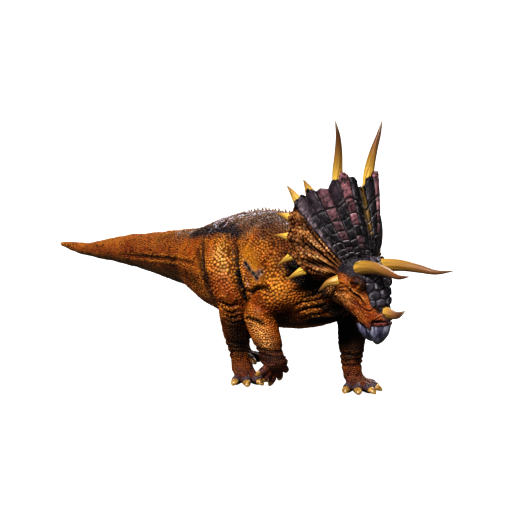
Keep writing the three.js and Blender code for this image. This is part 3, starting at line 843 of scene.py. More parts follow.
def painted_occlusion():
    """How closed in each point of the skin is, by short rays from it, rays that point down counting as partly shut;
    laid on the hide as painted shade.
    """
    golden = 2.39996
    z = np.sqrt((np.arange(HOLLOW_RAYS) + 0.5) / HOLLOW_RAYS)
    a = np.arange(HOLLOW_RAYS) * golden
    fan = np.stack([np.sqrt(1 - z**2) * np.cos(a), np.sqrt(1 - z**2) * np.sin(a), z], 1)
    tree = face_tree(skin.data, frill.data)
    first = unit(np.cross(normal, (0.31, 0.62, 0.72)))
    second = np.cross(normal, first)
    start = place + normal * 0.012
    shade_share = np.zeros(len(place))
    for way in fan:
        aim = first * way[0] + second * way[1] + normal * way[2]
        for i in range(len(place)):
            hit = tree.ray_cast(start[i], aim[i], HOLLOW_REACH)[3]
            if hit is not None:
                shade_share[i] += 1 - 0.6 * hit / HOLLOW_REACH
        shade_share += np.where(aim[:, 2] < -0.15, 0.28, 0)
    return web.spread(shade_share / HOLLOW_RAYS, 2)


occlusion_shade = painted_occlusion()
bend = web.spread(dots(place - web.mean(place), normal), 1) * 1000
ridges = np.clip(bend / 1.2, -1, 1)


def near_points(points, radius):
    """A soft mask round points on the skin; radius in millimetres."""
    r = radius / 1000
    return bell(surface.around(dense(points), 2.5 * r)[0], 0, r)


def near_pixels(pixels, radius, paired=True):
    points = surface.seen(pixels)
    lines = both_sides(points) if paired else [points]
    return np.max([near_points(line, radius) for line in lines], axis=0)


flange_face = here([np.array(centre) - (0, size[0], 0) for centre, size in CHEEK_FLANGE])
flange = np.maximum(*[near_points(line, 66) for line in both_sides(surface.snapped(flange_face))])
# Where the hide has no scales: the flank patch, deep creases, elbow and knee, and the face
bare_hide = np.clip(1.7 * near_pixels([(246, 251), (251, 261), (255, 270), (257, 277)], 82) - 0.3, 0, 1)
bare_hide = np.maximum(bare_hide, np.clip(1.6 * crease - 0.6, 0, 1))
bare_hide = np.maximum(bare_hide, 0.85 * near_pixels([(247, 303), (254, 306), (261, 310)], 75, False))
bare_hide = np.maximum(bare_hide, 0.6 * near_pixels([(222, 290), (231, 298), (232, 312)], 70, False))
cheek_edge = near_pixels([(333, 298), (341, 303), (349, 309)], 26)
bare_hide = np.maximum(bare_hide, 0.9 * skull * smooth_step(1230, 1290, drawn[:, 0]) * (1 - cheek_edge))
bare_hide = np.clip(bare_hide, 0, 1)


# Dabs of colour, some of them painted shade and painted highlight: tint, share, pixels, radius, and False for those on
# the near side only
BODY_DABS = [
    # Painted shade: dark behind the shoulder and down both edges of the thigh
    (UMBER, 0.85, [(268, 228), (280, 238), (286, 252), (284, 266)], 110),
    (UMBER, 0.75, [(202, 246), (204, 262), (207, 280), (213, 298)], 62),
    (UMBER, 0.7, [(235, 240), (237, 256), (238, 272), (240, 290)], 48),
    (srgb("#bd9150"), 0.75, [(220, 252), (222, 260), (225, 270)], 80),
    (srgb("#884626"), 0.65, [(224, 280), (228, 294)], 66),
    (RUST, 0.5, [(250, 295), (258, 300), (264, 306)], 60, False),
    (RUST, 0.7, [(212, 285), (219, 300)], 70),
    (OCHRE, 0.5, [(272, 278), (279, 296)], 90),
    # Painted highlight: a pale line on the lip of the fold before the thigh
    (ASH, 0.25, [(240, 266), (244, 276), (248, 285), (252, 292)], 10),
]
FACE_DABS = [
    (srgb("#bd7f45"), 0.6, [(340, 294), (348, 297), (356, 305), (362, 313)], 42),
    (srgb("#7c2f10"), 0.85, [(356, 303), (364, 309), (370, 314), (377, 319)], 44),
    # Painted shade round the eye, sunk under the brow
    (SEPIA, 0.75, [(351, 278), (358, 282), (362, 286)], 46),
]
# Painted shadow, fields of near black: pixels, radius, share
PAINTED_SHADOW_FIELDS = [
    ([(294, 267), (303, 280), (312, 286), (322, 288), (328, 293)], 74, 0.98),
    ([(322, 305), (333, 311), (341, 317), (346, 326)], 44, 0.97),
    ([(165, 267), (182, 272), (195, 279)], 55, 0.6),
    ([(283, 324), (305, 323), (325, 320)], 36, 0.55),
    ([(239, 272), (241, 281), (245, 291), (247, 299)], 26, 0.96),
    ([(198, 255), (203, 270), (208, 283), (214, 300)], 40, 0.55),
    ([(236, 326), (240, 335), (243, 346)], 60, 0.8),
    ([(225, 324), (229, 335), (233, 346)], 62, 0.62),
    ([(345, 332), (358, 334), (366, 338)], 75, 0.9),
]


def dabbed(colour, dabs):
    for tint, share, pixels, radius, *paired in dabs:
        colour = blend(colour, tint, share * near_pixels(pixels, radius, *paired))
    return colour


def hide_colours():
    x, y, z = drawn.T
    noise = ripple(place, 300, 11)
    fine = ripple(place, 90, 12)
    tail = belongs["tail_end"] + belongs["tail_base"] * smooth_step(-700, -900, x)
    tail_share = np.clip((TAIL["x"] - x) / TAIL["length"], 0, 1)
    up = normal[:, 2]
    colour = blend(ORANGE, OCHRE, 0.4 + 0.4 * noise)

    def tint(other, share):
        nonlocal colour
        colour = blend(colour, other, share)

    tint(RUST, 0.35 + 0.45 * ripple(place, 420, 13))
    # Tail: faint bands, its top painted paler as a painted highlight, olive underside
    bands = 0.5 + 0.5 * np.sin(tail_share * 46 + 2 * noise)
    tint(srgb("#7a3414"), tail * (0.3 + 0.4 * bands) * smooth_step(0.7, 0.1, up))
    tint(OCHRE, tail * smooth_step(0.3, 0.9, up) * 0.15)
    tint(UMBER, 0.5 * near_pixels([(160, 238), (175, 235), (190, 234)], 70))
    tint(OLIVE, tail * smooth_step(-0.1, -0.6, up) * 0.7)
    tint(UMBER, 0.22 * tail)
    # Band along the back: near black at the hips, ash along the ridge, drab over the shoulders
    back = smooth_step(0.5, 0.8, up + 0.1 * fine) * (1 - limb) * (1 - skull)
    drab = back * smooth_step(-1100, -750, x)
    tint(srgb("#5d5040"), 0.75 * drab)
    hips = near_pixels([(196, 233), (206, 231), (218, 229), (230, 229), (238, 234)], 90)
    hips = np.clip(1.5 * hips - 0.25 + 0.25 * fine, 0, 1) * smooth_step(0.2, 0.5, up)
    ashy = drab * smooth_step(-0.2, 0.7, ripple(place, 110, 21)) * smooth_step(0.75, 0.95, up)
    withers = near_pixels([(262, 216), (274, 216), (288, 218)], 190)
    tint(srgb("#382c22"), 0.6 * withers * back)
    tint(ASH, 0.9 * ashy * (1 - hips) * (1 - 0.75 * withers))
    tint(NAVY, 0.8 * drab * smooth_step(0.2, 0.8, ripple(place, 130, 22)) * smooth_step(0.8, 0.95, up))
    tint(NAVY, 0.97 * hips)
    crown = near_pixels([(210, 224), (222, 221), (236, 218), (250, 214), (266, 210), (284, 210)], 98)
    mottle = ripple(place, 75, 23)
    tint(ASH, 0.95 * crown * smooth_step(-0.1, 0.5, mottle) * (1 - 0.75 * withers))
    tint(NAVY, 0.85 * crown * smooth_step(-0.15, -0.8, mottle))
    # Flank patch with its spots
    flank = near_pixels([(246, 251), (251, 261), (255, 270), (257, 277)], 85)
    streak = ripple(place * (1, 1, 0.25), 40, 17)
    tint(blend(srgb("#b58029"), srgb("#8e5519"), 0.5 + 0.6 * streak), 1.25 * flank)
    for pixels in (
        [(245, 263), (247, 265)], [(249, 268), (250, 270)], [(253, 273), (254, 274)], [(256, 277), (257, 278)],
        [(259, 273)], [(262, 272)]
    ):
        tint(ASH, 0.35 * near_pixels(pixels, 24))
        tint(NAVY, 2.2 * near_pixels(pixels, 14))
    # Darker and paler fields of shoulder, thigh and elbow, with painted shade on the shoulder and the thigh's edges
    colour = dabbed(colour, BODY_DABS)
    # Face
    tint(srgb("#a9632c"), 0.8 * skull)
    tint(srgb("#985729"), np.clip(1.3 * flange, 0, 0.9))
    colour = dabbed(colour, FACE_DABS)
    # Lower legs browner, the far foreleg darkest as painted shade, toes grey
    lower_leg = limb * np.where(belongs["leg_fore_right"] > 0.5, smooth_step(470, 340, z), smooth_step(560, 330, z))
    tint(srgb("#3f1709"), 0.62 * lower_leg + 0.25 * lower_leg * fine)
    tint(srgb("#4a1c0d"), 0.85 * smooth_step(500, 420, z) * belongs["leg_fore_right"])
    tint(SEPIA, 0.88 * belongs["leg_fore_left"] * smooth_step(170, 330, z))
    # Painted highlight on the middle of the near forearm
    tint(srgb("#cf9a5c"), 0.6 * near_pixels([(254, 325), (261, 334), (266, 342)], 66, False))
    tint(srgb("#4a3c38"), 0.28 * foot)
    # Ridges are painted paler as a painted highlight; hollows and creases get painted shade further on.
    tint(OCHRE, 0.4 * np.clip(ridges, 0, 1) * (1 - 0.85 * lower_leg))
    # Painted shadow, near black, under the jaw, in the lee of the frill, before the thigh and on the far foreleg
    for pixels, radius, share in PAINTED_SHADOW_FIELDS:
        tint(SHADE_BLACK, share * np.clip(1.5 * near_pixels(pixels, radius), 0, 1) * (1 - np.clip(1.4 * flange, 0, 0.95)))
    tint(srgb("#c59055"), 0.8 * near_pixels([(334, 291), (340, 295), (346, 300)], 44))
    tint(srgb("#c08b52"), 0.8 * near_pixels([(334, 297), (341, 303), (348, 309), (355, 316)], 18))
    tint(srgb("#5c220b"), 0.9 * flange * smooth_step(-0.1, 0.7, ripple(place, 36, 18)))
    # Painted highlight along the lip of the cheek fold
    tint(srgb("#b9834a"), 0.7 * near_pixels([(350, 287), (357, 293), (364, 300)], 13))
    # Painted shade in hollows and concave places, from the rays cast above
    shade_share = smooth_step(0.18, 0.72, occlusion_shade + 0.12 * np.clip(-ridges, 0, 1))
    tint(SHADE_BLACK, 0.96 * shade_share * (1 - 0.85 * np.clip(1.4 * flange, 0, 1)))
    # Painted shade on hide that faces down
    tint(SEPIA, 0.35 * smooth_step(0.0, -0.7, up))
    # Painted highlight on the belly folds
    tint(
        srgb("#8a5a30"),
        0.5 * near_pixels([(288, 317), (300, 314), (312, 310), (322, 305)], 34)
        * smooth_step(-0.2, 0.6, ripple(place, 60, 19))
    )
    # Snout and forehead are slate, with a rosy strip at the beak.
    half = np.interp(z, [690, 763, 856, 985, 1100], [32, 62, 100, 122, 150]) + 8 * fine
    snout = smooth_step(half + 7, half - 7, np.abs(y)) * skull * smooth_step(1380, 1430, x) * smooth_step(640, 700, z)
    brow = smooth_step(1005, 1050, z + 0.25 * (x - 1350)) * skull * smooth_step(1180, 1240, x)
    # the slate is painted paler on ridges, a painted highlight
    slate = blend(SLATE, srgb("#6b6269"), 0.5 * np.clip(ridges, 0, 1) + 0.25 * fine)
    tint(slate, np.maximum(snout, brow))
    # Painted shade by the eye
    tint(srgb("#2c160f"), 0.85 * near_pixels([(360, 284), (363, 288), (365, 292)], 21))
    tint(srgb("#261a20"), np.clip(1.3 * near_pixels([(361, 274), (364, 279), (367, 285), (371, 292)], 30), 0, 0.9))
    # Painted shade along the edge of the snout scutes
    tint(SHADE_BLACK, np.clip(1.2 * near_pixels([(367, 288), (369, 294), (371, 300), (374, 306), (379, 312)], 17), 0, 0.9))
    tint(ROSE, 0.8 * near_pixels([(386, 321), (378, 323), (370, 326)], 26))
    # Painted shade in the creases of the folds
    tint(SHADE_BLACK, (0.9 - 0.3 * skull) * crease)
    return np.clip(colour, DARKEST, 1)


marking_and_shade = hide_colours()
attribute(skin, "MarkingAndShade", marking_and_shade)
attribute(skin, "Bare", bare_hide, "FLOAT")


# Coat: scales as low domes, sized by region, laid apart and pushed evenly
def scale_sizes():
    """Spacing of the scales in millimetres at each skin vertex."""
    size = np.full(len(place), 27.0)
    size += 11 * near_pixels([(222, 262), (226, 272)], 130)
    size += 10 * near_pixels([(275, 275), (280, 300)], 130)
    size += 6 * near_pixels([(262, 232), (275, 245)], 150)
    size -= 8 * near_pixels([(252, 262)], 110)
    x, y, z = drawn.T
    size = np.where(x < -800, np.interp(x, [-2750, -800], [15, 25]), size)
    size = size * (1 - 0.2 * limb * smooth_step(850, 480, z)) * (1 - 0.3 * skull) * (1 - 0.28 * foot)
    return np.clip(size, 13, 44)


def scattered(ground, size, wanted_at=None):
    """Points on a surface, closer where scales are small, pushed apart until even."""
    a, b, c = (ground.places[ground.corners[:, k]] for k in range(3))
    area = np.linalg.norm(np.cross(b - a, c - a), axis=1) / 2
    spacing = size[ground.corners].mean(1) / 1000
    wanted = area / (0.866 * spacing**2)
    if wanted_at is not None:
        wanted = wanted * wanted_at[ground.corners].mean(1)
    total = int(1.1 * wanted.sum())
    pick = CHANCE.choice(len(area), total, p=wanted / wanted.sum())
    r1 = np.sqrt(CHANCE.random(total))[:, None]
    r2 = CHANCE.random(total)[:, None]
    points = a[pick] * (1 - r1) + b[pick] * (r1 * (1 - r2)) + c[pick] * (r1 * r2)
    root = ground.corners[pick, 0]
    for turn in range(8):
        near = point_tree(points)
        gap = size[root] / 1000
        move = np.zeros_like(points)
        for i, p in enumerate(points):
            for q, j, d in near.find_n(p, 7)[1:]:
                if d < gap[i]:
                    move[i] += (p - np.array(q)) * ((gap[i] - d) / max(d, 1e-5))
        points = points + 0.38 * move
        for i, p in enumerate(points):
            points[i] = ground.tree.find_nearest(Vector(p))[0]
        root = np.array([ground.near.find(p)[1] for p in points])
    return points, root


def unwrap(points, root):
    """Place of each root on an unwrap of the skin: trunk and tail round the spine, each leg round its own axis."""
    d = (points - SHIFT) * 1000
    uv = np.zeros((len(points), 2))
    middle = np.interp(d[:, 0], [-2750, -800, 0, 1200], [700, 950, 960, 1050])
    turn = np.arctan2(d[:, 1], d[:, 2] - middle) / (2 * np.pi) + 0.5
    uv[:, 0] = 0.02 + 0.96 * np.clip((d[:, 0] + 2760) / 4400, 0, 1)
    uv[:, 1] = 0.42 + 0.56 * turn
    for k, name in enumerate(LEGS):
        mine = belongs[name][root] > 0.5
        if mine.any():
            q = d[mine]
            height = np.clip(q[:, 2] / 1300, 0, 1)
            levels = np.linspace(0, 1300, 27)
            slices = [np.abs(q[:, 2] - h) < 80 for h in levels]
            middles = np.array([q[cut if cut.any() else slice(None), :2].mean(0) for cut in slices])
            ax, ay = (np.interp(q[:, 2], levels, middles[:, i]) for i in (0, 1))
            uv[mine, 0] = 0.02 + 0.245 * k + 0.225 * (np.arctan2(q[:, 1] - ay, q[:, 0] - ax) / (2 * np.pi) + 0.5)
            uv[mine, 1] = 0.02 + 0.37 * height
    return uv


def scale_coat(name, points, n, uv, spacing, tints, height_share):
    """Joined domes: a sunk rim of six points, a raised ring and a top."""
    count = len(points)
    along = unit(np.cross(np.cross(n, (1, 0, 0.12)), n) + 1e-6)
    across = np.cross(n, along)
    radius = spacing / 1000 * 0.62 * CHANCE.uniform(0.82, 1.12, count)
    stretch = CHANCE.uniform(0.95, 1.2, count)
    spin = CHANCE.uniform(0, 2 * np.pi, count)
    high = np.minimum(radius * height_share * CHANCE.uniform(0.8, 1.2, count), (COAT_DEPTH + 5) / 1000)
    angles = np.arange(6) * np.pi / 3
    verts = np.zeros((count, 13, 3))
    patch = np.zeros((count, 13, 2))
    tall = np.zeros((count, 13))
    for k, angle in enumerate(angles):
        wobble = CHANCE.uniform(0.88, 1.1, count)
        ca, sa = np.cos(angle + spin), np.sin(angle + spin)
        flat = along * (ca * stretch * radius * wobble)[:, None] + across * (sa / stretch * radius * wobble)[:, None]
        verts[:, k] = points + flat - n * 0.003
        verts[:, 6 + k] = points + flat * 0.66 + n * (high * 0.72)[:, None]
        patch[:, k] = np.stack([ca, sa], 1) * 0.0015
        patch[:, 6 + k] = np.stack([ca, sa], 1) * 0.001
        tall[:, 6 + k] = 0.75
    verts[:, 12] = points + n * high[:, None]
    tall[:, 12] = 1.0
    faces = []
    for k in range(6):
        j = (k + 1) % 6
        faces += [(k, j, 6 + j), (k, 6 + j, 6 + k), (6 + k, 6 + j, 12)]
    faces = np.array(faces)
    mesh = bpy.data.meshes.new(name)
    tris = (faces[None] + 13 * np.arange(count)[:, None, None]).reshape(-1, 3)
    mesh.vertices.add(count * 13)
    mesh.vertices.foreach_set("co", verts.astype(np.float32).ravel())
    mesh.loops.add(len(tris) * 3)
    mesh.loops.foreach_set("vertex_index", tris.astype(np.int32).ravel())
    mesh.polygons.add(len(tris))
    mesh.polygons.foreach_set("loop_start", np.arange(0, len(tris) * 3, 3, dtype=np.int32))
    mesh.polygons.foreach_set("use_smooth", np.ones(len(tris), bool))
    mesh.update(calc_edges=True)
    layer = mesh.uv_layers.new(name="OFBake")
    spots = (uv[:, None] + patch).reshape(-1, 2)[tris.ravel()]
    layer.data.foreach_set("uv", spots.astype(np.float32).ravel())
    piece = placed(name, mesh)
    tint = tints * CHANCE.uniform(0.78, 1.26, (count, 1)) * CHANCE.uniform(0.93, 1.07, (count, 3))
    attribute(piece, "MarkingAndShade", np.repeat(np.clip(tint, 0, 1), 13, axis=0))
    attribute(piece, "Height", tall.ravel(), "FLOAT")
    return piece


size_map = scale_sizes()
coat_points, coat_root = scattered(surface, size_map, 1 - bare_hide)
coat_uv = unwrap(coat_points, coat_root)
COAT_PARTS = {
    "scales_tail": lambda d: d[:, 0] < -800,
    "scales_rump": lambda d: (d[:, 0] >= -800) & (d[:, 0] < 150) & (d[:, 2] > 700),
    "scales_shoulder": lambda d: (d[:, 0] >= 150) & (d[:, 0] < 1200) & (d[:, 2] > 700),
    "scales_face": lambda d: d[:, 0] >= 1200,
    "scales_legs": lambda d: (d[:, 0] >= -800) & (d[:, 0] < 1200) & (d[:, 2] <= 700),
}
coat = []
coat_drawn = (coat_points - SHIFT) * 1000
for name, chosen in COAT_PARTS.items():
    mine = chosen(coat_drawn)
    root = coat_root[mine]
    at = coat_points[mine]
    coat.append(scale_coat(name, at, normal[root], coat_uv[mine], size_map[root], marking_and_shade[root], 0.42))


# Tubercles over the frill's sides and back
def frill_scales():
    share = np.abs(frill_round)
    facing = dots(frill_ground.normals, frill_normal(frill_out, frill_round))
    sides = smooth_step(0.545, 0.57, share) * smooth_step(0.35, 0.75, frill_out + 0.35 * smooth_step(0.75, 0.55, share))
    behind = smooth_step(-0.2, -0.5, facing) * smooth_step(0.15, 0.3, frill_out)
    size = np.where(facing > 0, 26 + 9 * smooth_step(0.4, 0.9, frill_out), 26.0)
    points, root = scattered(frill_ground, size, np.maximum(sides, behind))
    half = 0.48 * frill_out[root]
    uv = np.stack([frill_round[root] / 2 + 0.5, np.where(facing[root] > 0, 0.01 + half, 0.99 - half)], 1)
    return scale_coat("scales_frill", points, frill_ground.normals[root], uv, size[root], frill_marking_and_shade[root], 0.2)


coat.append(frill_scales())


# Horns and spikes: lofted along their paths with flutes that fade to the tip
def horn(name, plan, flip=False, sides=36, rows=72, flute=0.03, seed=1, age=(0.0, 1.0)):
    path = mirrored(plan["path"]) if flip else np.asarray(plan["path"], float)
    share = np.linspace(0, 1, len(path))
    radius = plan["radius"] * (1 - share ** plan["taper"]) + 3
    turn = np.random.default_rng(seed)
    phase = turn.uniform(0, 6.28, 4)

    def relief(angle, v):
        flutes = np.sin(9 * angle + phase[0] + 2 * v) + 0.6 * np.sin(17 * angle + phase[1] - 3 * v)
        flutes = flutes + 0.4 * np.sin(29 * angle + phase[2])
        rings = np.sin(70 * v + phase[3] + 0.6 * np.sin(angle)) * smooth_step(0.5, 0.05, v)
        return 1 + flute * flutes * smooth_step(0.97, 0.5, v) + 0.012 * rings

    bm = bmesh.new()
    bent_sheet(bm, sides, rows, lofted(path, np.stack([radius] * 3, 1), (0.02, 0.06), relief=relief))
    piece = finish_mesh(name, bm)
    steps = np.linspace(0, 1, 120)
    line = here(curve(path, steps))
    near = point_tree(line)
    co = places_of(piece.data)
    at = np.array([near.find(p)[1] for p in co])
    ahead = unit(np.gradient(line, axis=0))[at]
    first = unit(np.cross(ahead, (0.3, 0.2, 1)))
    off = unit(co - line[at])
    # Streaks follow the horn: two turns of the round and a slow run along it.
    grain = np.stack([dots(off, first), dots(off, np.cross(ahead, first)), 0.5 * steps[at]], 1)
    attribute(piece, "Grain", grain * 0.5 + 0.5)
    attribute(piece, "Along", age[0] + (age[1] - age[0]) * steps[at], "FLOAT")
    return piece


horns = []
for hand, flip in (("right", False), ("left", True)):
    for node, plan in (("horn_brow", BROW_HORN), ("spike_crown", CROWN_SPIKE), ("horn_cheek", CHEEK_HORN)):
        age = {"horn_brow": (0.28, 0.78), "spike_crown": (0.05, 0.97), "horn_cheek": (0.3, 0.62)}[node]
        piece = horn(f"{node}_keratin_{hand}", plan, flip, seed=len(horns) + 3, age=age)
        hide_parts(f"{node}_{hand}")
        horns.append(piece)
nose = horn("horn_nose_keratin", NOSE_HORN, seed=21)
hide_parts("horn_nose")
horns.append(nose)
for at, length, rise in RIM_SPIKES:
    for hand in (1, -1):
        spot = np.array([at * hand])
        out = np.array([0.97])
        base = (frill_front(out, spot) - frill_normal(out, spot) * FRILL_THICKNESS["rim"] / 2)[0]
        angle = math.radians(rise)
        away = unit(np.array([-math.cos(angle), RIM_SPIKE["splay"] * hand, math.sin(angle)]))
        bow = np.array([0, 0, -1]) * length * 0.10
        wider, sunk = (1.2, -0.3) if rise > STEEP else (1, -0.1)
        path = [base + away * length * s + bow * max(0, s) ** 2 for s in (sunk, 0.15, 0.55, 1.0)]
        plan = {"path": path, **RIM_SPIKE, "radius": RIM_SPIKE["radius"] * wider}
        name = f"rim_spike_{'left' if hand > 0 else 'right'}_{int(at * 1000)}"
        horns.append(horn(name, plan, sides=20, rows=28, seed=int(at * 100) + hand, age=(0.05, 0.55)))


# Beak, and the height and lean of the line where it leaves the hide
BEAK_LIP = {"level": 655, "tilt": 0.12, "tall": 12, "thick": 5, "wider": 1.08, "shorter": 1.01}


def streaked(angle, v):
    return 1 + 0.012 * np.sin(14 * angle + 3 * v) + 0.008 * np.sin(31 * angle) - 0.02 * bell(v, 0.12, 0.03)


def beak(name, sections):
    bm = bmesh.new()
    bent_sheet(bm, 64, 56, lofted([s[0] for s in sections], [s[1] for s in sections], (0.12, 0.1), relief=streaked))
    cut = bmesh.ops.bisect_plane(
        bm, geom=bm.verts[:] + bm.edges[:] + bm.faces[:], plane_co=here((1470, 0, BEAK_LIP["level"] + 12)),
        plane_no=(-BEAK_LIP["tilt"], 0, 1), clear_outer=True
    )
    bmesh.ops.holes_fill(bm, edges=[g for g in cut["geom_cut"] if isinstance(g, bmesh.types.BMEdge)], sides=0)
    piece = finish_mesh(name, bm)
    x, y, z = ((places_of(piece.data) - SHIFT) * 1000).T
    # The lower beak is darker throughout, and the front ridge of the upper beak, leaning to the far side, is darker as
    # painted shade
    ridge = bell(y, 20, 42) * smooth_step(1490, 1570, x)
    darkened = 0.3 if "lower" in name else 0.4 * ridge
    attribute(piece, "Along", np.clip((BEAK_LIP["level"] - z) / 170 + darkened, 0, 1), "FLOAT")
    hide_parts(name.replace("_horn", ""))
    return piece


beaks = [beak("beak_upper_horn", UPPER_BEAK), beak("beak_lower_horn", LOWER_BEAK)]


def make_lip():
    """A roll of soft hide round the root of the upper beak."""
    root = lofted(
        [p for p, _ in UPPER_BEAK],
        [(a * BEAK_LIP["wider"], b * BEAK_LIP["shorter"], c) for _, (a, b, c) in UPPER_BEAK], (0.12, 0.1)
    )
    angles = np.linspace(0, 1, 161)
    steps = np.linspace(0.05, 0.7, 90)
    ring = []
    for u in angles:
        line = (root(np.full(90, u), steps) - SHIFT) * 1000
        level = line[:, 2] - (BEAK_LIP["level"] + BEAK_LIP["tilt"] * (line[:, 0] - 1470))
        ring.append(line[np.argmin(np.abs(level))])
    ring = np.array(ring)
    middle = ring.mean(0)

    def shape(u, v):
        at = curve(ring, v, True)
        away = unit((at - middle) * (1, 1, 0))
        ripple_ = 1 + 0.12 * np.sin(v * 150 + 3 * np.sin(v * 31)) + 0.15 * np.sin(v * 23)
        a = 2 * np.pi * u
        return here(
            at + away * (BEAK_LIP["thick"] * np.cos(a) * ripple_ - 2)[:, None]
            + np.array([0, 0, 1.0]) * (BEAK_LIP["tall"] * np.sin(a) * ripple_)[:, None]
        )

    bm = bmesh.new()
    bent_sheet(bm, 20, 220, shape)
    piece = finish_mesh("beak_lip", bm)
    co = places_of(piece.data)
    front = smooth_step(1490, 1590, (co[:, 0] - SHIFT[0]) * 1000)
    colour = blend(blend(srgb("#5e2810"), ROSE, 0.7 * front), SEPIA, 0.3 + 0.7 * ripple(co, 70, 41))
    # Painted shade on the lip's underside
    paint_bare(piece, blend(colour, SHADE_BLACK, 0.6 * smooth_step(-0.1, -0.9, normals_of(piece.data)[:, 2])))
    return piece


lip = make_lip()


# Eyes
def eye_pose(flip):
    """Centre of an eye and the way it looks."""
    return here(mirrored(EYE["at"]) if flip else EYE["at"]), unit(np.array([0.35, 1.0 if flip else -1.0, 0.12]))


def make_eye(hand, flip):
    centre, look = eye_pose(flip)
    bm = bmesh.new()
    bmesh.ops.create_uvsphere(bm, u_segments=40, v_segments=24, radius=EYE["radius"] / 1000)
    bmesh.ops.translate(bm, verts=bm.verts[:], vec=centre)
    piece = finish_mesh(f"eyeball_{hand}", bm)
    d = unit(places_of(piece.data) - centre) @ look
    attribute(piece, "Iris", d, "FLOAT")
    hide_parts(f"eye_{hand}")
    return piece


def make_lids(hand, flip):
    """Two folds of hide over the eyeball that leave a narrow opening."""
    centre, look = eye_pose(flip)
    bm = bmesh.new()
    for rise, lean, radius, proud in ((5, 1, 1.34, 1.13), (-4, -1, 1.3, 1.1)):
        size = EYE["radius"] * radius / 1000
        made = bmesh.ops.create_uvsphere(bm, u_segments=44, v_segments=30, radius=size)["verts"]
        bmesh.ops.transform(bm, matrix=Matrix.Translation(centre) @ Matrix.Scale(proud / radius, 4, look), verts=made)
        faces = list({f for v in made for f in v.link_faces})
        edges = list({e for v in made for e in v.link_edges})
        across = unit(np.array([0.35, 0, 1.0]) * lean + 0.3 * look)
        bmesh.ops.bisect_plane(
            bm, geom=made + edges + faces, plane_co=centre + np.array([0, 0, rise / 1000]), plane_no=across,
            clear_inner=True
        )
    piece = finish_mesh(f"eyelids_{hand}", bm)
    solid = piece.modifiers.new("lid_thickness", "SOLIDIFY")
    solid.thickness = 0.006
    co = places_of(piece.data)
    rim = np.abs((co - centre)[:, 2]) * 1000
    colour = blend(srgb("#7a3a16"), UMBER, 0.45 + 0.8 * ripple(co, 26, 42))
    # Painted shade: the upper front of the lids darker, and near black at the opening
    colour = blend(colour, srgb("#2b1c1c"), 0.8 * smooth_step(0, 30, (co - centre) @ np.array([0.7, 0, 0.75]) * 1000))
    paint_bare(piece, blend(colour, SHADE_BLACK, 0.9 * smooth_step(11, 5, rim)))
    return piece


eyes = [make_eye("right", False), make_eye("left", True)]
lids = [make_lids("right", False), make_lids("left", True)]


# Scutes of the forehead and snout: a sheet laid on the hide, raised to irregular plates
SNOUT = {"top": (1330, 0, 1105), "low": (1432, 0, 775), "half": (132, 82), "plate": 52, "height": 18}


def make_snout_scutes():
    top, low = np.array(SNOUT["top"], float), np.array(SNOUT["low"], float)
    length = np.linalg.norm(low - top)
    turn = np.random.default_rng(8)
    rows = int(length / SNOUT["plate"]) + 3
    grid = [
        ((c + 0.5 * (r % 2)) * SNOUT["plate"] * 1.1, (r - 1) * SNOUT["plate"]) for r in range(rows)
        for c in range(-4, 5)
    ]
    seeds = np.array(grid) + turn.uniform(-0.22, 0.22, (len(grid), 2)) * SNOUT["plate"]
    chance = turn.random(len(seeds))
    tint = []

    def shape(u, v):
        t = 2 * u - 1
        half = SNOUT["half"][0] * (1 - v) + SNOUT["half"][1] * v
        way = unit(np.stack([0.55 + 0.42 * v, 0.35 * t, 0.84 - 0.72 * v], 1))
        start = here(top * (1 - v)[:, None] + low * v[:, None] + np.stack([0 * t, half * t, 0 * t], 1)) + way * 0.5
        flat = np.stack([half * t, length * v], 1)
        far = np.linalg.norm(flat[:, None] - seeds[None], axis=2)
        order = np.argsort(far, axis=1)
        mine = order[:, 0]
        gap = (np.take_along_axis(far, order[:, 1:2], 1)[:, 0] - far[np.arange(len(far)), mine]) / SNOUT["plate"]
        edge = np.minimum(smooth_step(1, 0.72, np.abs(t)), smooth_step(0, 0.08, v) * smooth_step(1, 0.93, v))
        plate = SNOUT["height"] * (0.5 + 0.7 * chance[mine]) * smooth_step(0.02, 0.5, gap)
        lift = plate * edge + 3 * edge - 10 * (1 - edge)
        points = []
        for p, w, h in zip(start, way, lift):
            hit = surface.tree.ray_cast(Vector(p), Vector(-w))[0]
            points.append((np.array(hit) if hit is not None else surface.snapped([p - 0.5 * w])[0]) + w * h / 1000)
        points = np.array(points)
        tone = blend(srgb("#17151a"), srgb("#45424a"), chance[mine])
        tone = blend(tone, srgb("#4b3847"), 0.6 * smooth_step(0.2, 0.8, ripple(points, 90, 43)))
        # Painted highlight on the plates' edges, and painted shade, near black, in the gaps between them
        painted_light = bell(gap, 0.3, 0.1) * smooth_step(-0.4, 0.5, ripple(points, 70, 44))
        tone = blend(tone, srgb("#9b979d"), 0.6 * painted_light)
        tint.append(blend(tone, srgb("#060507"), 0.92 * (1 - smooth_step(0.02, 0.2, gap))))
        return points

    bm = bmesh.new()
    bent_sheet(bm, 100, 170, shape)
    piece = finish_mesh("snout_scutes", bm)
    attribute(piece, "MarkingAndShade", np.clip(tint[0], DARKEST, 1))
    return piece


snout = make_snout_scutes()


# Toes with bands of scutes, and blunt claws on them
def toe_plans(plan):
    """For each toe of a foot: a function from distance and height to a place, and its side, tip and length."""
    at, toes, _, _, spread = plan
    pose = foot_pose(plan)
    for i in range(toes):
        share = i / (toes - 1) - 0.5
        heading = math.radians(TOE_FAN[toes]) * spread * share
        ahead = np.array([math.cos(heading), math.sin(heading), 0])
        length = 1 - 0.5 * abs(share)
        tip = TOE["reach"] * 0.62 + TOE["length"] * length

        def spot(d, h, ahead=ahead):
            return np.array(at) + pose @ (ahead * d + np.array([0, 0, TOE["height"] * h]))

        yield spot, pose @ np.array([-math.sin(heading), math.cos(heading), 0]), tip, length


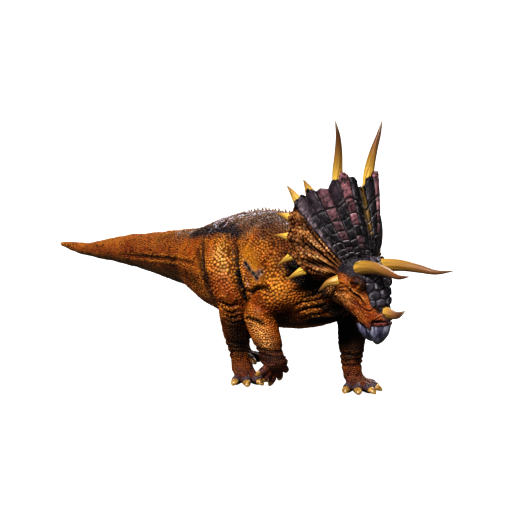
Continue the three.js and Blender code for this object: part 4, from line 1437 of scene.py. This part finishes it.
def banded(angle, v):
    upper = smooth_step(-0.6, 0.3, np.sin(angle))
    return 1 + upper * (0.09 * np.abs(np.sin(np.pi * 5 * v)) ** 0.6 - 0.04)


def grooved(angle, v):
    return 1 + 0.02 * np.sin(11 * angle) + 0.012 * np.sin(60 * v)


def make_toes(name, plan):
    bm = bmesh.new()
    slim = 0.76 if plan[3] else 0.96
    for spot, side, tip, _ in toe_plans(plan):
        shape = lofted(
            [spot(0.34 * tip, 1.3), spot(0.62 * tip, 1.18), spot(0.86 * tip, 1.04), spot(tip + 4, 0.92)],
            np.array([(42, 44, 40), (43, 46, 42), (40, 43, 40), (34, 34, 32)]) * slim,
            (0.25, 0.12),
            side=side,
            relief=banded,
        )
        bent_sheet(bm, 32, 44, shape)
    for v in bm.verts:
        v.co.z = max(v.co.z, SOLE_GAP)
    piece = finish_mesh(f"toes_{name}", bm)
    co, n = places_of(piece.data), normals_of(piece.data)
    tips = np.array([spot(tip, 0.9) for spot, _, tip, _ in toe_plans(plan)])
    reach = np.min(np.linalg.norm((co - SHIFT)[:, None] * 1000 - tips[None], axis=2), axis=1)
    colour = blend(UMBER, RUST, 0.45 + 0.5 * ripple(co, 60, 51))
    colour = blend(
        colour, srgb("#4b4a54"), smooth_step(95, 45, reach) * ((0.35 if plan[3] else 0.75) + 0.25 * ripple(co, 40, 52))
    )
    under = foot_pose(plan)[:, 2]
    # Painted shade on the toes' undersides
    paint_bare(piece, blend(colour, SHADE_BLACK, 0.85 * smooth_step(0.2, -0.5, n @ under)))
    return piece


def make_claws(name, plan):
    bm = bmesh.new()
    for spot, side, tip, length in toe_plans(plan):
        c = CLAW_LENGTH * length
        path = [spot(tip + d * c, h) for d, h in ((-0.42, 0.98), (0.05, 0.84), (0.38, 0.58), (0.62, 0.3))]
        sizes = np.array([(33, 31, 26), (35, 31, 24), (26, 21, 15), (9, 6, 5)]) * (0.8 if plan[3] else 0.95)
        bent_sheet(bm, 24, 24, lofted(path, sizes, (0.12, 0.14), side=side, relief=grooved))
    for v in bm.verts:
        v.co.z = max(v.co.z, SOLE_GAP / 2)
    return finish_mesh(f"claws_{name}", bm)


toes = [make_toes(name, plan) for name, plan in FEET.items()]
claws = [make_claws(name, plan) for name, plan in FEET.items()]


# Spines along the back
def make_back_spines():
    bm = bmesh.new()
    turn = np.random.default_rng(9)
    for x in np.arange(-420, 900, 46.0):
        y = turn.uniform(-10, 10)
        top = here((x, y, 0))
        hit = surface.tree.ray_cast(Vector((top[0], top[1], 3)), Vector((0, 0, -1)))[0]
        if hit is None:
            continue
        foot_at = (np.array(hit) - SHIFT) * 1000
        tall = np.interp(x, [-700, -300, 300, 700, 900], [10, 16, 34, 30, 12]) * turn.uniform(0.75, 1.15)
        path = [foot_at + (0, 0, -14), foot_at + (-0.2 * tall, 0, 0.35 * tall), foot_at + (-0.55 * tall, 0, tall)]
        r = 7 + 0.12 * tall
        bent_sheet(
            bm, 10, 8, lofted(path, [(r, r * 1.5, r * 1.5), (r * 0.7, r, r), (1.5, 1.5, 1.5)], (0.05, 0.1), even=True)
        )
    piece = finish_mesh("back_spines", bm)
    attribute(piece, "Along", 0.72 + 0.1 * ripple(places_of(piece.data), 30, 61), "FLOAT")
    attribute(piece, "Grain", places_of(piece.data))
    return piece


back_spines = make_back_spines()


# Materials
def add(tree, kind, links=None, **settings):
    """Adds a node with its settings; links maps an input to a node's output socket or a plain value."""
    node = tree.nodes.new(kind)
    for key, value in settings.items():
        setattr(node, key, value)
    for key, value in (links or {}).items():
        if isinstance(value, bpy.types.NodeSocket):
            tree.links.new(value, node.inputs[key])
        else:
            node.inputs[key].default_value = value
    return node


def material(name):
    made = bpy.data.materials.new(name)
    made.use_nodes = True
    made.node_tree.nodes.clear()
    return made, made.node_tree


def toned(tree, value, stops):
    """Colour of a ramp at a value."""
    node = add(tree, "ShaderNodeValToRGB", {"Fac": value})
    elements = node.color_ramp.elements
    while len(elements) < len(stops):
        elements.new(0.5)
    for element, (at, colour) in zip(elements, stops):
        element.position = at
        element.color = (*colour, 1)
    return node.outputs["Color"]


def times(tree, colour, other):
    mix = {0: 1.0, 6: colour, 7: other}
    return add(tree, "ShaderNodeMix", mix, data_type="RGBA", blend_type="MULTIPLY").outputs[2]


def surfaced(made, settings):
    """Ends a material in one surface."""
    shader = add(made.node_tree, "ShaderNodeBsdfPrincipled", settings)
    add(made.node_tree, "ShaderNodeOutputMaterial", {"Surface": shader.outputs["BSDF"]})
    return made


def read(tree, name, socket="Fac"):
    return add(tree, "ShaderNodeAttribute", attribute_name=name).outputs[socket]


def over_part(tree):
    return add(tree, "ShaderNodeTexCoord").outputs["Object"]


def noise(tree, scale, detail, rough=0.5, at=None):
    spots = {"Vector": at or over_part(tree), "Scale": scale, "Detail": detail, "Roughness": rough}
    return add(tree, "ShaderNodeTexNoise", spots).outputs["Fac"]


def cells(tree, scale, feature):
    spots = {"Vector": over_part(tree), "Scale": scale}
    return add(tree, "ShaderNodeTexVoronoi", spots, feature=feature).outputs["Distance"]


def total(tree, one, other):
    return add(tree, "ShaderNodeMath", {0: one, 1: other}, operation="ADD").outputs[0]


def spanned(tree, value, low, high, **limits):
    span = {"Value": value, "To Min": low, "To Max": high, **limits}
    return add(tree, "ShaderNodeMapRange", span).outputs["Result"]


def bumped(tree, height, strength, distance, invert=False):
    rise = {"Height": height, "Strength": strength, "Distance": distance}
    return add(tree, "ShaderNodeBump", rise, invert=invert).outputs["Normal"]


# Hide: dry keratin scales over thick skin; the pebbles' tops are painted paler as a painted highlight and the gaps
# between them painted dark as painted shade.
def hide(name, scales):
    made, tree = material(name)
    grain = noise(tree, 60.0, 4.0, 0.6)
    tone = toned(tree, grain, [(0.3, (0.68, 0.66, 0.64)), (0.7, (1.22, 1.2, 1.16))])
    varied = times(tree, read(tree, "MarkingAndShade", "Color"), tone)
    if scales:
        # painted highlight on the scale tops and painted shade at their sunk rims
        painted_light = [
            (0.0, (0.06, 0.04, 0.03)), (0.45, (0.36, 0.28, 0.22)), (0.75, (0.92, 0.91, 0.93)), (1.0, (1.1, 1.26, 1.9))
        ]
        shade = toned(tree, read(tree, "Height"), painted_light)
        bump = bumped(tree, grain, 0.25, 0.004)
    else:
        pebbles = cells(tree, 95.0, "F1")
        gaps = toned(tree, pebbles, [(0.1, (0.52, 0.48, 0.44)), (0.7, (0.2, 0.17, 0.15))])
        bald = toned(tree, pebbles, [(0.15, (1.2, 1.17, 1.12)), (0.5, (0.8, 0.77, 0.74)), (0.8, (0.42, 0.39, 0.37))])
        shade = add(tree, "ShaderNodeMix", {0: read(tree, "Bare"), 6: gaps, 7: bald}, data_type="RGBA").outputs[2]
        bump = bumped(tree, pebbles, 0.55, 0.004, True)
    rough = spanned(tree, grain, 0.36, 0.62)
    base = times(tree, varied, shade)
    return surfaced(
        made, {"Base Color": base, "Roughness": rough, "Normal": bump, "IOR": 1.45, "Specular IOR Level": 0.18}
    )


# Frill hide: thick horny scutes with a dull waxy sheen; their pale edges are a painted highlight in the colour
# attribute.
def scute_hide():
    made, tree = material("horny_scutes")
    grain = noise(tree, 28.0, 6.0, 0.65)
    tone = toned(tree, grain, [(0.32, (0.42, 0.4, 0.4)), (0.7, (1.4, 1.36, 1.37))])
    base = times(tree, read(tree, "MarkingAndShade", "Color"), tone)
    bump = bumped(tree, total(tree, grain, cells(tree, 55.0, "DISTANCE_TO_EDGE")), 0.45, 0.008)
    rough = spanned(tree, grain, 0.42, 0.7)
    return surfaced(
        made, {"Base Color": base, "Roughness": rough, "Normal": bump, "IOR": 1.5, "Specular IOR Level": 0.25}
    )


# Horn: layered keratin, yellow ochre at the root, red brown to a pale worn tip, with long dark streaks.
def horn_keratin():
    made, tree = material("keratin_horn")
    streak = noise(tree, 5.0, 6.0, 0.66, read(tree, "Grain", "Vector"))
    shift = spanned(tree, streak, -0.2, 0.2, **{"From Min": 0.3, "From Max": 0.7})
    root_to_tip = ["#c6a244", "#d8b65a", "#977437", "#6e4a2c", "#543423", "#9b8a74"]
    stops = list(zip((0.0, 0.2, 0.45, 0.66, 0.86, 0.97), map(srgb, root_to_tip)))
    body = toned(tree, total(tree, read(tree, "Along"), shift), stops)
    tone = toned(tree, streak, [(0.36, (0.26, 0.2, 0.12)), (0.5, (0.92, 0.88, 0.78)), (0.64, (1.42, 1.38, 1.3))])
    bump = bumped(tree, total(tree, streak, noise(tree, 60.0, 4.0, 0.6)), 0.4, 0.005)
    base = times(tree, body, tone)
    return surfaced(
        made, {"Base Color": base, "Roughness": 0.4, "Normal": bump, "IOR": 1.54, "Specular IOR Level": 0.45}
    )


# Beak: dense polished keratin, slate with paler worn streaks; a painted highlight high on it and painted shade
# darkening it to the tip.
def beak_keratin():
    made, tree = material("polished_beak_keratin")
    drawn_out = {"Vector": over_part(tree), "Scale": (22.0, 30.0, 5.0), "Rotation": (0.0, -0.35, 0.0)}
    streak = noise(tree, 1.0, 5.0, 0.6, add(tree, "ShaderNodeMapping", drawn_out).outputs["Vector"])
    body = toned(tree, streak, [(0.36, srgb("#14131f")), (0.5, srgb("#424152")), (0.64, srgb("#86858f"))])
    # painted highlight near the top, painted shade towards the tip
    painted_light = [(0.0, (0.8, 0.8, 0.8)), (0.2, (1.5, 1.5, 1.48)), (0.5, (0.62, 0.62, 0.74)), (1.0, (0.12, 0.12, 0.17))]
    base = times(tree, body, toned(tree, read(tree, "Along"), painted_light))
    bump = bumped(tree, streak, 0.25, 0.004)
    return surfaced(made, {"Base Color": base, "Roughness": 0.28, "Normal": bump, "IOR": 1.54})


# Claws: yellowed hoof keratin with darker stains.
def claw_keratin():
    made, tree = material("hoof_keratin")
    stain = noise(tree, 40.0, 4.0)
    base = toned(tree, stain, [(0.3, srgb("#543713")), (0.55, srgb("#987434")), (0.75, srgb("#bd9f66"))])
    bump = bumped(tree, stain, 0.2, 0.003)
    return surfaced(made, {"Base Color": base, "Roughness": 0.38, "Normal": bump, "IOR": 1.54})


# Eye: wet cornea over a dark red iris with a round black pupil.
def eye_cornea():
    made, tree = material("wet_cornea")
    rings = [(0.6, srgb("#2a120e")), (0.78, srgb("#6a1c12")), (0.93, srgb("#8a2d16")), (0.955, srgb("#080505"))]
    tone = toned(tree, noise(tree, 220.0, 3.0), [(0.35, (0.6, 0.6, 0.6)), (0.65, (1.3, 1.3, 1.3))])
    base = times(tree, toned(tree, read(tree, "Iris"), rings), tone)
    return surfaced(
        made, {"Base Color": base, "Roughness": 0.12, "IOR": 1.38, "Coat Weight": 1.0, "Coat Roughness": 0.03}
    )


# Floor: matt white studio paper, lit from below so that shadows on it stay faint; it throws little light up.
def studio_paper():
    made, tree = material("studio_paper")
    body = toned(tree, noise(tree, 3.0, 2.0), [(0.3, srgb("#f1f1ef")), (0.7, srgb("#f5f5f4"))])
    paper = add(tree, "ShaderNodeBsdfPrincipled", {"Base Color": body, "Roughness": 0.9, "Specular IOR Level": 0.1})
    lit = add(tree, "ShaderNodeEmission", {"Color": (1, 1, 1, 1), "Strength": 1.0})
    shown = add(tree, "ShaderNodeMixShader", {0: 0.75, 1: paper.outputs["BSDF"], 2: lit.outputs["Emission"]})
    dim = add(tree, "ShaderNodeBsdfDiffuse", {"Color": (0.2, 0.19, 0.18, 1)})
    path = add(tree, "ShaderNodeLightPath")
    final = add(
        tree, "ShaderNodeMixShader",
        {0: path.outputs["Is Camera Ray"], 1: dim.outputs["BSDF"], 2: shown.outputs["Shader"]}
    )
    add(tree, "ShaderNodeOutputMaterial", {"Surface": final.outputs["Shader"]})
    return made


def dress(pieces, made):
    for piece in pieces:
        piece.data.materials.clear()
        piece.data.materials.append(made)
        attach(piece, "root")


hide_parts(*FLESH)
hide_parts(*[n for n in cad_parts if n.startswith("frill")])
dress([skin, lip] + lids + toes, hide("scaled_hide_skin", False))
dress(coat, hide("scaled_hide_pebbles", True))
dress([frill, snout], scute_hide())
dress(horns + [back_spines], horn_keratin())
dress(beaks, beak_keratin())
dress(claws, claw_keratin())
dress(eyes, eye_cornea())


# Studio
def make_studio():
    bm = bmesh.new()
    bmesh.ops.create_circle(bm, cap_ends=True, segments=96, radius=60)
    floor = finish_mesh("floor", bm)
    floor.data.materials.append(studio_paper())
    world = bpy.data.worlds.new("studio")
    bpy.context.scene.world = world
    world.use_nodes = True
    tree = world.node_tree
    tree.nodes.clear()
    path = add(tree, "ShaderNodeLightPath")
    glow = add(tree, "ShaderNodeMapRange", {"Value": path.outputs["Is Camera Ray"], "To Min": 0.105, "To Max": 1.0})
    ambient = add(tree, "ShaderNodeBackground", {"Color": (1, 1, 1, 1), "Strength": glow.outputs["Result"]})
    add(tree, "ShaderNodeOutputWorld", {"Surface": ambient.outputs["Background"]})
    for name, turn, rise, energy, angle in (
        ("key", 24, 43, 5.0, 8), ("fill", 95, 25, 0.2, 40), ("back", 212, 34, 1.7, 40)
    ):
        data = bpy.data.lights.new(name, "SUN")
        data.energy = energy
        data.angle = math.radians(angle)
        placed(name, data).rotation_euler = Vector(compass(turn, rise)).to_track_quat("Z", "Y").to_euler()


make_studio()
bpy.context.scene.view_settings.view_transform = "Standard"
bpy.context.scene.view_settings.look = "High Contrast"
